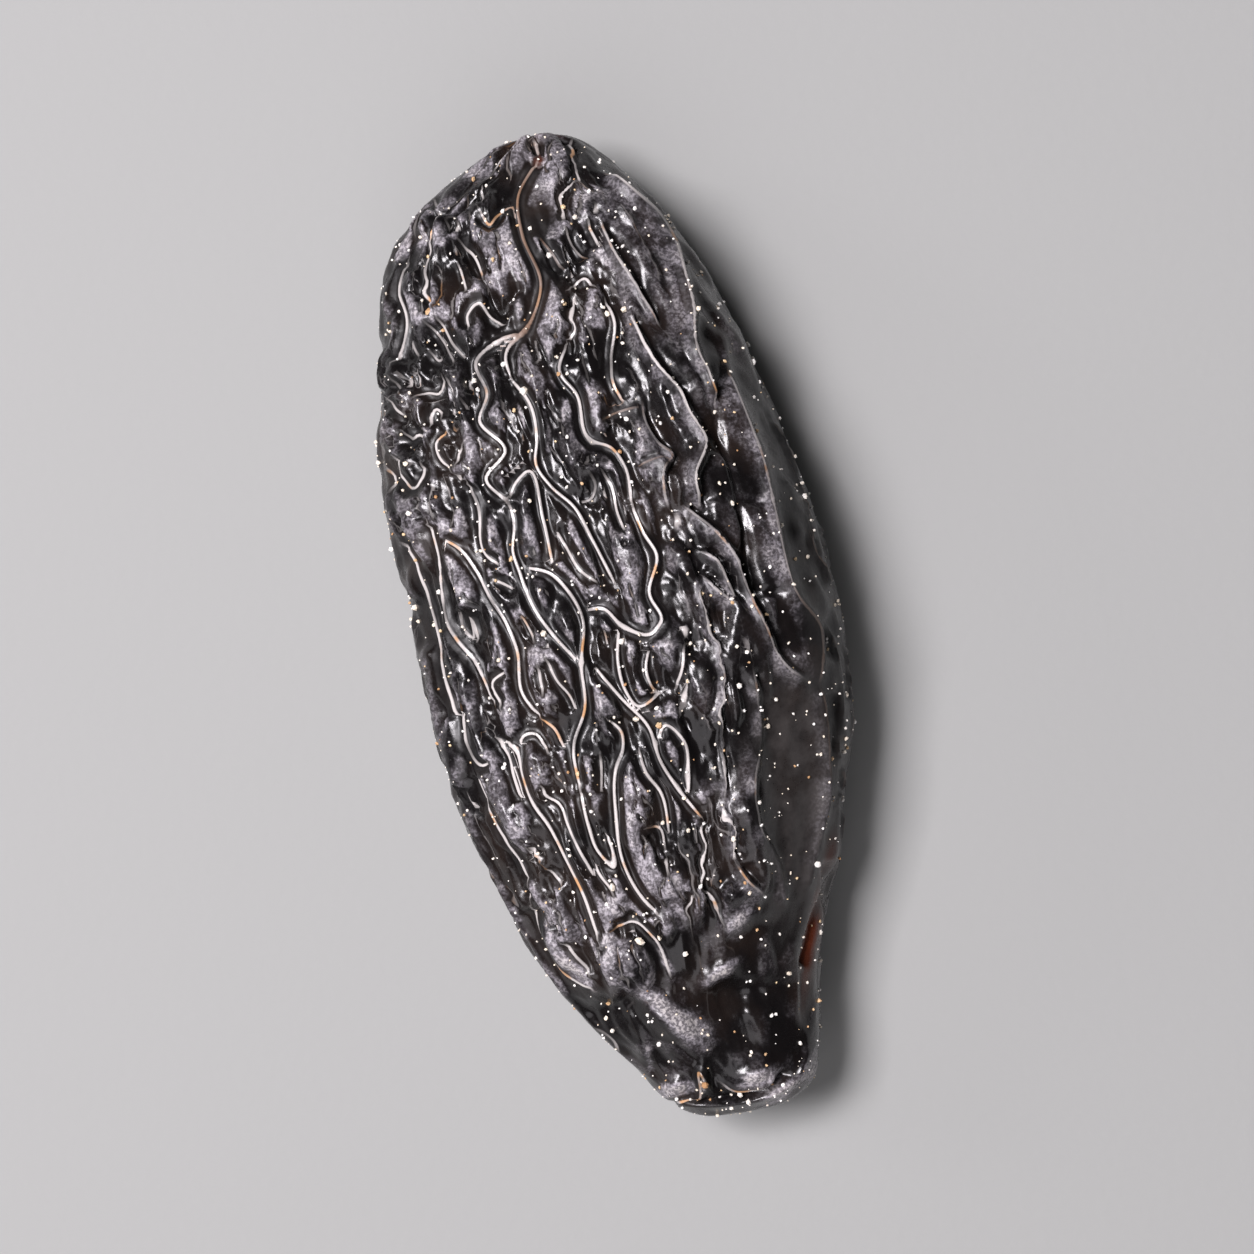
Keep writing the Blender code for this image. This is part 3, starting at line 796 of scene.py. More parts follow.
def covered(swells: Sequence[Swell], plan: np.ndarray, squareness: float = 2.0) -> np.ndarray:
    """How fully swells cover points seen from above in millimetres, from 0 to 1."""
    return np.clip(sum(swell.height * swell.share(plan, squareness) for swell in swells), 0, 1)


@dataclass(frozen=True)
class SmoothBean:
    """The bean before its skin wrinkled. Tables run from the snout to the rounded end, in millimetres."""

    length: float = 37.4 * MM
    rest_depth: float = 0.28 * MM
    crown_lean: float = 0.8 * MM
    station: tuple = (-1.0, -0.9, -0.76, -0.5, -0.2, 0.1, 0.4, 0.65, 0.87, 1.0)
    half_width: tuple = (6.4, 5.3, 5.5, 6.5, 7.6, 7.7, 7.8, 7.9, 8.4, 8.0)
    middle: tuple = (1.0, 0.8, 0.1, 0.0, 0.0, -0.1, -0.7, -1.0, -1.1, -0.5)
    rise: tuple = (3.2, 3.4, 3.9, 4.8, 5.3, 5.5, 5.4, 5.1, 4.8, 4.4)
    drop: tuple = (3.0, 3.3, 3.8, 4.2, 4.4, 4.4, 4.4, 4.3, 4.0, 3.6)
    snout_squareness: float = 2.8
    round_end_squareness: float = 2.05
    section_squareness: float = 2.3
    curve_steps: int = 4000

    @property
    def rim_height(self) -> float:
        """How high the widest part of the bean stands above the table."""
        return max(self.drop) * MM - self.rest_depth

    def long_profile(self) -> tuple[np.ndarray, np.ndarray, np.ndarray]:
        """How the ends close: share of the profile's length, place along the bean from -1 to 1, and width."""
        turn = np.linspace(-np.pi / 2, np.pi / 2, self.curve_steps)
        square = np.where(turn < 0, self.snout_squareness, self.round_end_squareness)
        place = signed_power(np.sin(turn), 2 / square)
        width = np.abs(np.cos(turn)) ** (2 / square)
        share = shares_of_length(place * self.length / 2, width * max(self.half_width) * MM)
        return share, place, width

    def section_profile(self) -> tuple[np.ndarray, np.ndarray, np.ndarray]:
        """The middle section: share of its girth from the +X rim, and its squared-off cosine and sine."""
        turn = np.linspace(0, 2 * np.pi, self.curve_steps)
        across = signed_power(np.cos(turn), 2 / self.section_squareness)
        upward = signed_power(np.sin(turn), 2 / self.section_squareness)
        half_depth = (max(self.rise) + max(self.drop)) / 2
        return shares_of_length(across * max(self.half_width), upward * half_depth), across, upward

    def place(self, along: np.ndarray, around: np.ndarray) -> np.ndarray:
        """Points of the smooth skin.

        Args:
            along: Shares of the long profile's length.
            around: Shares of the girth.

        Returns:
            The points, in metres.
        """
        length_share, stations, widths = self.long_profile()
        girth_share, across, upward = self.section_profile()
        eta = np.interp(along, length_share, stations)
        width = np.interp(along, length_share, widths)
        across = np.interp(around, girth_share, across)
        upward = np.interp(around, girth_share, upward)
        rise = smooth_through(eta, self.station, self.rise)
        drop = smooth_through(eta, self.station, self.drop)
        z = upward * np.where(upward > 0, rise, drop) * width * MM
        lean = self.crown_lean * np.clip(upward, 0, 1) * width
        half_width = smooth_through(eta, self.station, self.half_width) * width * MM
        x = smooth_through(eta, self.station, self.middle) * MM + across * half_width - lean
        return np.stack([x, eta * self.length / 2, z + self.rim_height], axis=-1)


FAR = 3.0  # what stands for the distance in millimetres from a ridge where there is none


@dataclass
class SkinGrid:
    """A grid over the smooth bean, with rows from snout to rounded end and columns from the +X rim round."""

    bean: SmoothBean
    rows: int = 400
    columns: int = 512
    spacing_per_spread: float = 5.72  # the spacing that two blurs pick out, over the first one's width
    wider_spread: float = 1.6  # the second one's width over the first one's
    least_bend: float = 0.1  # for each square millimetre
    end_gap: float = 1.001  # in rows, from where sampling stops to the number of rows
    points: np.ndarray = field(init=False)
    girth: np.ndarray = field(init=False)
    row_step: float = field(init=False)

    def __post_init__(self) -> None:
        """Places the grid's points and measures its steps."""
        along = (np.arange(self.rows) + 0.5) / self.rows
        around = np.arange(self.columns) / self.columns
        self.points = self.bean.place(*np.meshgrid(along, around, indexing="ij"))
        steps = self.points - np.roll(self.points, 1, axis=1)
        self.girth = np.linalg.norm(steps, axis=2).sum(axis=1, keepdims=True)
        side = self.points[:, self.columns // 4]
        self.row_step = float(np.linalg.norm(np.diff(side, axis=0), axis=1).mean())

    def spread(self, values: np.ndarray, across: float, along: float) -> np.ndarray:
        """Blurs values on the skin.

        Args:
            values: One value for each point.
            across: The blur's width round the bean, in metres.
            along: Its width along the bean.

        Returns:
            The blurred values.
        """
        waves = np.fft.rfftfreq(self.columns, 1 / self.columns)
        keep = np.exp(-2 * (np.pi * across * waves / self.girth) ** 2)
        values = np.fft.irfft(np.fft.rfft(values, axis=1) * keep, n=self.columns, axis=1)
        # past an end, a column goes on up the far side
        loop = np.concatenate([values, np.roll(values, self.columns // 2, axis=1)[::-1]])
        keep = np.exp(-2 * (np.pi * along * np.fft.rfftfreq(2 * self.rows, self.row_step)) ** 2)
        return np.fft.irfft(np.fft.rfft(loop, axis=0) * keep[:, None], n=2 * self.rows, axis=0)[: self.rows]

    def ripples(self, values: np.ndarray, spacing: float, stretch: float) -> np.ndarray:
        """What of the values repeats at about this spacing.

        Args:
            values: One value for each point.
            spacing: The spacing, in metres.
            stretch: How much longer the features are along the bean.

        Returns:
            The repeating part, with a spread of 1.
        """
        narrow = spacing / self.spacing_per_spread
        wide = self.wider_spread * narrow
        found = self.spread(values, narrow, narrow * stretch) - self.spread(values, wide, wide * stretch)
        return found / found.std()

    def noise(self, seed: int) -> np.ndarray:
        """Unfiltered noise."""
        return np.random.default_rng(seed).standard_normal((self.rows, self.columns))

    def crest_lines(self, values: np.ndarray, faint: float, strong: float) -> tuple[np.ndarray, np.ndarray]:
        """Finds the lines along which values are highest, on a grid twice as fine.

        Args:
            values: One value for each point.
            faint: How sharply values bend, for each square millimetre, on a line that doesn't count yet.
            strong: How sharply they bend on one that counts fully.

        Returns:
            The distance from the nearest line in millimetres, below 0 on one side of it, and how far that
            line counts, from 0 to 1.
        """
        level = self._finer(values)
        across = np.repeat(self.girth, 2, axis=0) / MM / (2 * self.columns)
        along = self.row_step / MM / 2
        x = (np.roll(level, -1, axis=1) - np.roll(level, 1, axis=1)) / (2 * across)
        y = np.gradient(level, along, axis=0)
        xx = (np.roll(x, -1, axis=1) - np.roll(x, 1, axis=1)) / (2 * across)
        yy = np.gradient(y, along, axis=0)
        xy = np.gradient(x, along, axis=0)
        turn = 0.5 * np.arctan2(2 * xy, xx - yy)
        bend = (xx + yy) / 2 - np.hypot((xx - yy) / 2, xy)
        # the way across a ridge, always taken with a part towards higher columns
        way = -np.where(np.sin(turn) > 0, 1.0, -1.0)
        slope = (y * np.cos(turn) - x * np.sin(turn)) * way
        away = slope / np.maximum(-bend, self.least_bend)
        return np.clip(away, -FAR, FAR), ramp(-bend, faint, strong - faint)

    def _finer(self, values: np.ndarray) -> np.ndarray:
        """Values on a grid twice as fine, without new detail."""
        loop = np.concatenate([values, np.roll(values, self.columns // 2, axis=1)[::-1]])
        waves = np.fft.rfft2(loop)
        fine = np.zeros((4 * self.rows, self.columns + 1), complex)
        fine[: self.rows, : waves.shape[1]] = waves[: self.rows]
        fine[-self.rows :, : waves.shape[1]] = waves[self.rows :]
        return 4 * np.fft.irfft2(fine, s=(4 * self.rows, 2 * self.columns))[: 2 * self.rows]

    def sample(self, values: np.ndarray, along: np.ndarray, around: np.ndarray) -> np.ndarray:
        """Reads values between the grid's points, or between those of a grid that is some whole times finer.

        Args:
            values: One value for each point.
            along: Shares of the long profile's length.
            around: Shares of the girth.

        Returns:
            The values read.
        """
        rows, columns = values.shape
        row = np.clip((along * self.rows - 0.5) * (rows // self.rows), 0, rows - self.end_gap)
        column = (around % 1.0) * columns
        r = row.astype(int)
        c = column.astype(int) % columns
        next_c = (c + 1) % columns
        v = row - r
        u = column - np.floor(column)
        lower = values[r, c] * (1 - u) + values[r, next_c] * u
        upper = values[r + 1, c] * (1 - u) + values[r + 1, next_c] * u
        return lower * (1 - v) + upper * v


@dataclass(frozen=True)
class Wrinkles:
    """How wrinkles grow in the skin: noise is spread and sharpened in turn, until it is a net of ridges.

    The bends are how sharply the net bends, for each square millimetre, on a line that doesn't count yet, and
    on one that counts fully.
    """

    spacing: float
    stretch: float
    rounds: int
    gain: float
    bias: float
    seed: int
    bends: tuple
    noise_share: float = 0.5
    guide_share: float = 3.0

    def grow(self, grid: SkinGrid, guide: np.ndarray) -> np.ndarray:
        """Grows the net.

        Args:
            grid: The grid over the bean.
            guide: Where ridges are wanted, above 0, and where not, below 0.

        Returns:
            From below 0 in the troughs to about 1 on the crests.
        """
        values = self.noise_share * grid.noise(self.seed) + self.guide_share * guide
        for _ in range(self.rounds):
            band = grid.ripples(values, self.spacing, self.stretch)
            values = np.tanh(self.gain * (band + self.bias) + guide)
        return grid.ripples(values, self.spacing, self.stretch)


class Ripples(NamedTuple):
    """Seeded noise that repeats at about a spacing in metres and is drawn out along the bean by a stretch."""

    spacing: float
    stretch: float
    seed: int

    def over(self, grid: SkinGrid) -> np.ndarray:
        """The noise at the grid's points, with a spread of 1."""
        return grid.ripples(grid.noise(self.seed), self.spacing, self.stretch)


MAIN_WRINKLES = Wrinkles(
    spacing=1.25 * MM, stretch=2.2, rounds=24, gain=2.2, bias=0.12, seed=7, bends=(5.0, 16.0)
)
FINE_WRINKLES = Wrinkles(
    spacing=0.68 * MM, stretch=1.9, rounds=14, gain=2.0, bias=0.10, seed=11, bends=(25.0, 70.0)
)
LEAST_GIRTH = 4 * MM  # round an end, the shakes turn the skin no faster than at this girth
RIM_FADE = 1.3 * MM  # what is laid out from above runs this far down past the rim

CELLS = Ripples(1.6 * MM, 2.3, 3)
BROAD_CELLS = Ripples(3.0 * MM, 1.7, 4)
BROAD_SHARE = 0.8
CELLS_SPREAD = 1.3
LUMPS = Ripples(0.75 * MM, 1.3, 5)
PEBBLES = Ripples(0.4 * MM, 1.2, 9)

# How the grown ridges are shaken, across the bean and along it, by two sizes of noise, in millimetres
SHAKES = (
    (Ripples(1.1 * MM, 1.2, 31), Ripples(0.5 * MM, 1.0, 32)),
    (Ripples(1.1 * MM, 1.2, 41), Ripples(0.5 * MM, 1.0, 42)),
)
WIDE_SHAKE = 0.05
NARROW_SHAKE = 0.02

# How a fold draws the grown ridges to its route and keeps them off beside it, by distance in millimetres
GUIDE_PULL = 2.2
GUIDE_HALF_WIDTH = 0.28
GUIDE_PUSH = 0.8
PUSH_AT = 0.65
PUSH_HALF_WIDTH = 0.3
GUIDE_RANGE = (-2.0, 3.0)


def fold_guide(grid: SkinGrid) -> np.ndarray:
    """Pulls the grown ridges to the folds' routes.

    Args:
        grid: The grid over the bean.

    Returns:
        Above 0 on the routes and below 0 beside them.
    """
    lowest = grid.bean.rim_height - RIM_FADE
    height = grid.points[..., 2]
    above = height > lowest
    plan = grid.points[above][:, :2] / MM
    pull = np.zeros(len(plan))
    for _, offset, _ in beside_folds(plan, raised=True):
        away = np.abs(offset)
        pushed = GUIDE_PUSH * bell(away - PUSH_AT, PUSH_HALF_WIDTH)
        pull += GUIDE_PULL * bell(away, GUIDE_HALF_WIDTH) - pushed
    guide = np.zeros((grid.rows, grid.columns))
    guide[above] = np.clip(pull, *GUIDE_RANGE) * ramp(height[above], lowest, RIM_FADE)
    return guide


# Modelling ------------------------------


def push_out(piece: bpy.types.Object, name: str, heights: np.ndarray, way: str = "NORMAL") -> None:
    """Raises a piece's surface, and sinks it where the heights are below 0.

    Args:
        piece: The mesh.
        name: A name for the relief.
        heights: The height of each vertex, in metres.
        way: Which way it is raised: NORMAL for off the surface, or an axis.
    """
    for sign in (1.0, -1.0):
        share = np.maximum(sign * heights, 0)
        most = float(share.max())
        if most <= 0:
            continue
        group = piece.vertex_groups.new(name=name)
        for index, weight in enumerate((share / most).tolist()):
            group.add([index], weight, "REPLACE")
        modifier = piece.modifiers.new(name, "DISPLACE")
        modifier.vertex_group = name
        modifier.direction = way
        modifier.mid_level = 0.0
        modifier.strength = sign * most
        bpy.context.view_layer.objects.active = piece
        bpy.ops.object.modifier_apply(modifier=name)
        piece.vertex_groups.remove(piece.vertex_groups[name])


def vectors_of(piece: bpy.types.Object, kind: str) -> np.ndarray:
    """A mesh's vertices in metres, for the kind "co", or the directions that they face, for "normal"."""
    vectors = np.empty(3 * len(piece.data.vertices), np.float32)
    piece.data.vertices.foreach_get(kind, vectors)
    return vectors.reshape(-1, 3).astype(float)


def set_corners(piece: bpy.types.Object, places: np.ndarray) -> None:
    """Moves a mesh's vertices."""
    piece.data.vertices.foreach_set("co", places.astype(np.float32).ravel())
    piece.data.update()


def set_attribute(piece: bpy.types.Object, name: str, values: np.ndarray) -> None:
    """Stores a number for each vertex, for the finish to read."""
    attribute = piece.data.attributes.new(name, "FLOAT", "POINT")
    attribute.data.foreach_set("value", values.astype(np.float32))


@dataclass
class Skinned:
    """Where the skin's vertices lie before they are raised: in metres, and as shares of length and girth."""

    smooth: np.ndarray
    along: np.ndarray
    around: np.ndarray

    @property
    def plan(self) -> np.ndarray:
        """Their places seen from above, in millimetres."""
        return self.smooth[:, :2] / MM


class Zones:
    """What each vertex is part of, from 0 to 1, and the large soft forms.

    The plan is where a vertex is seen from above once a ridge has raised it, and swollen is how high the soft
    forms raise it, both in millimetres.
    """

    # a zone begins at its first number and is whole after a run of its second
    FLANK = (-0.60, 0.45)  # by minus how far the skin faces up or down, so whole where it faces sideways
    STEEP = (-0.45, 0.30)  # by how far it faces down
    REST = (0.05 * MM, 0.75 * MM)  # by height; what lies below is pressed flat
    # by the place across the bean in millimetres
    LEAN = (0.8, 1.6)
    OUTER = (3.9, 0.6)
    SHOULDER = (5.9, 0.6)
    SNOUT_EDGE = -11.6  # along the bean
    SNOUT_FADE = 2.4
    SNOUT_STEP = 2.2  # the snout's edge lies this much higher on the +X side
    SNOUT_STEP_AT = (-1.2, 1.2)
    # the forms, in millimetres and shares
    PATCH_SQUARENESS = 4.0
    CURLY_SQUARENESS = 3.0
    ROLL_REACH = 4.0
    ROLL_SHARPNESS = 1.6
    ROLL_TAPER = 0.3
    TERRACE_HEIGHT = 0.62
    TERRACE_WIDTH = 0.95
    TERRACE_DROP_WIDTH = 0.20
    TERRACE_EDGE = 0.07  # from the crest to where the drop begins
    TERRACE_LEAN = (0.8, 2.0)
    TERRACE_SHARPNESS = 1.3
    TERRACE_TAPER = 0.9
    TERRACE_LEAST = 0.35
    FURROW_HALF_WIDTH = 0.17
    FURROW_TAPER = 0.45

    def __init__(self, skin: Skinned, normals: np.ndarray, rim_height: float, raised: float) -> None:
        """Finds the zones and forms.

        Args:
            skin: The vertices.
            normals: The directions that they face.
            rim_height: How high the bean's rim stands, in metres.
            raised: How far a ridge raises a vertex, in metres.
        """
        height = skin.smooth[:, 2]
        self.plan = skin.plan + normals[:, :2] * raised / MM
        x, y = self.plan.T
        self.upper = ramp(height - rim_height, -RIM_FADE, RIM_FADE)
        self.flank = ramp(-np.abs(normals[:, 2]), *self.FLANK)
        self.steep = ramp(-normals[:, 2], *self.STEEP)
        self.rest = ramp(height, *self.REST)
        self.lean = ramp(x, *self.LEAN) * self.upper
        self.outer = ramp(x, *self.OUTER)
        self.shoulder = ramp(x, *self.SHOULDER) * self.upper
        snout_edge = self.SNOUT_EDGE + self.SNOUT_STEP * ramp(x, *self.SNOUT_STEP_AT)
        self.snout = ramp(snout_edge - y, 0.0, self.SNOUT_FADE) * self.upper
        self.bloom = SMOOTH_PATCH.share(self.plan, self.PATCH_SQUARENESS) * self.upper
        wedge = SMOOTH_WEDGE.height * SMOOTH_WEDGE.share(self.plan, self.PATCH_SQUARENESS)
        self.patch = self.bloom + wedge * self.upper
        self.curly = CURLY_MARGIN.share(self.plan, self.CURLY_SQUARENESS) * self.upper
        self.rolled = np.zeros(len(x))
        self.swollen = self._rolls() + sum(swell.height * swell.share(self.plan) for swell in SWELLS)
        self.swollen += self.TERRACE_HEIGHT * self._terraces() * (1 - self.flank) * (1 - self.patch)
        self.furrow = self._furrows() * self.upper

    def _rolls(self) -> np.ndarray:
        """How high the rolls rise, in millimetres. It notes which vertices are part of one."""
        rise = np.zeros(len(self.plan))
        for roll in ROLLS:
            offset, from_end = beside_route(self.plan, roll.route, self.ROLL_REACH)
            width = np.where(offset > 0, roll.minus_width, roll.plus_width)
            share = bell(np.abs(offset), width, self.ROLL_SHARPNESS)
            share *= eased(from_end / (self.ROLL_TAPER * from_end.max()))
            self.rolled = np.maximum(self.rolled, share)
            rise = np.maximum(rise, roll.height * share)
        return rise

    def _terraces(self) -> np.ndarray:
        """How far the skin of the +X side rises to each ridge from the -X side, with a drop beyond it."""
        start, run = self.TERRACE_LEAN
        lean = np.clip((self.plan[:, 0] - start) / run, 0, 1)
        rise = np.zeros(len(lean))
        for height, offset, from_end in beside_folds(self.plan, raised=True):
            inner = offset * lean > 0
            width = np.where(inner, self.TERRACE_WIDTH, self.TERRACE_DROP_WIDTH)
            away = np.maximum(np.abs(offset) - np.where(inner, 0, self.TERRACE_EDGE), 0)
            share = bell(away, width, self.TERRACE_SHARPNESS) * eased(from_end / self.TERRACE_TAPER)
            rise = np.maximum(rise, (self.TERRACE_LEAST + (1 - self.TERRACE_LEAST) * height) * share * lean)
        return rise

    def _furrows(self) -> np.ndarray:
        """How deep in a furrow each vertex lies, from 0 to 1."""
        deepest = np.zeros(len(self.plan))
        for depth, offset, from_end in beside_folds(self.plan, raised=False):
            share = bell(offset, self.FURROW_HALF_WIDTH) * eased(from_end / self.FURROW_TAPER)
            deepest = np.maximum(deepest, depth * share)
        return deepest


class Loss(NamedTuple):
    """How much of something each zone takes away, from 0 for nothing to 1 for all."""

    patch: float
    roll: float
    flank: float
    snout: float
    shoulder: float

    def left(self, zones: Zones, whole: Any) -> np.ndarray:
        """What the zones leave of a whole."""
        whole = whole * (1 - self.patch * zones.patch) * (1 - self.roll * zones.rolled * zones.upper)
        whole = whole * (1 - self.flank * zones.flank) * (1 - self.snout * zones.snout)
        return whole * (1 - self.shoulder * zones.shoulder)


class Ridges:
    """For each vertex, the ridge that it feels most.

    The offset is the distance from its crest in millimetres, above 0 on the -X side, and the strength is how
    high it is, from 0 to 1.
    """

    RIVALRY = (0.55, 0.3)  # from which share of the ridge felt most another one contests, and its run
    OFF_CREST = (0.05, 0.05)  # from which distance off the crest, and its run
    LEAST_FELT = 1e-6

    def __init__(self, count: int) -> None:
        """Starts without a ridge near any of so many vertices."""
        self.offset = np.full(count, FAR)
        self.strength = np.zeros(count)
        self.felt = np.zeros(count)
        self.rival = np.zeros(count)

    def lay(self, offset: np.ndarray, strength: np.ndarray, fall: float) -> None:
        """Takes a ridge wherever it is felt more than the others.

        Args:
            offset: Each vertex's distance from the ridge.
            strength: How high the ridge is there.
            fall: Over which distance in millimetres it is felt less.
        """
        weight = strength * np.exp(-np.abs(offset) / fall)
        wins = weight > self.felt
        self.rival = np.where(wins, self.felt, np.maximum(self.rival, weight))
        self.offset = np.where(wins, offset, self.offset)
        self.strength = np.where(wins, strength, self.strength)
        self.felt = np.where(wins, weight, self.felt)

    @property
    def contested(self) -> np.ndarray:
        """How far each vertex lies between two ridges that are about as near, from 0 to 1."""
        between = ramp(self.rival / np.maximum(self.felt, self.LEAST_FELT), *self.RIVALRY)
        return between * ramp(np.abs(self.offset), *self.OFF_CREST)


@dataclass(frozen=True)
class SheenPainting:
    """Where a painted sheen lies: on the swollen cells between the ridges, and as a painted highlight on
    rises of the +X side. Lengths are in millimetres.
    """

    gap: float = 0.37  # from the crest of a ridge to the painted sheen
    gap_fade: float = 0.10
    full_ridge: float = 0.5
    slope_loss: float = 0.8
    cell: tuple = (-0.48, 0.38)  # by how swollen it is
    flat_share: float = 0.05
    dent: float = 0.35  # so deep a dent has no painted sheen
    snout_loss: float = 0.8
    bright: float = 2.0
    bright_squareness: float = 2.6
    band: float = 0.55  # a painted highlight on the upper part of a rise towards a crest of the +X side, which faces the lights
    band_width: float = 0.45
    band_ridge: float = 0.35
    lean_loss: float = 0.9
    roll_share: float = 0.4
    plus_margin: tuple = (6.1, 0.5)
    plus_loss: float = 0.9
    minus_margin: tuple = (5.4, 1.6)
    minus_loss: float = 0.4
    flank_loss: float = 0.8

    def share(self, zones: Zones, ridges: Ridges, level: np.ndarray, slope: np.ndarray) -> np.ndarray:
        """How much painted sheen each vertex gets.

        Args:
            zones: The zones of the skin.
            ridges: The ridges.
            level: How swollen each cell is.
            slope: How far it is on the rise towards a crest of the +X side.

        Returns:
            From 0 for none to 1, and to 2 where it is brightest.
        """
        x = zones.plan[:, 0]
        gap = self.gap * eased(ridges.strength / self.full_ridge) * (1 - self.slope_loss * slope)
        painted_silver = eased((np.abs(ridges.offset) - gap) / self.gap_fade + 0.5)
        painted_silver *= 1 - self.snout_loss * zones.snout
        painted_silver *= 1 - zones.patch
        painted_silver *= (self.flat_share + (1 - self.flat_share) * ramp(level, *self.cell)) * (1 - zones.furrow)
        painted_silver *= 1 - np.clip(-zones.swollen / self.dent, 0, 1) * zones.upper
        # the brightest painted highlights, on the listed spots
        bright = covered(PAINTED_HIGHLIGHTS, zones.plan, self.bright_squareness)
        painted_silver = np.maximum(painted_silver, self.bright * bright**2 * zones.upper)
        # less painted sheen on the +X half, whose cells turn away from the lights
        painted_silver *= 1 - self.lean_loss * zones.lean * (1 - zones.snout) * (1 - self.roll_share * zones.rolled)
        # a painted highlight on the rises of the +X side that face the lights
        band = slope * bell(ridges.offset, self.band_width) * eased(ridges.strength / self.band_ridge)
        painted_silver = np.maximum(painted_silver, self.band * band)
        # less painted sheen towards the edges and on the flanks, which turn away from the lights
        painted_silver *= 1 - self.plus_loss * ramp(x, *self.plus_margin)
        painted_silver *= 1 - self.minus_loss * ramp(-x, *self.minus_margin)
        return painted_silver * (1 - self.flank_loss * zones.flank * (1 - zones.snout)) * zones.rest


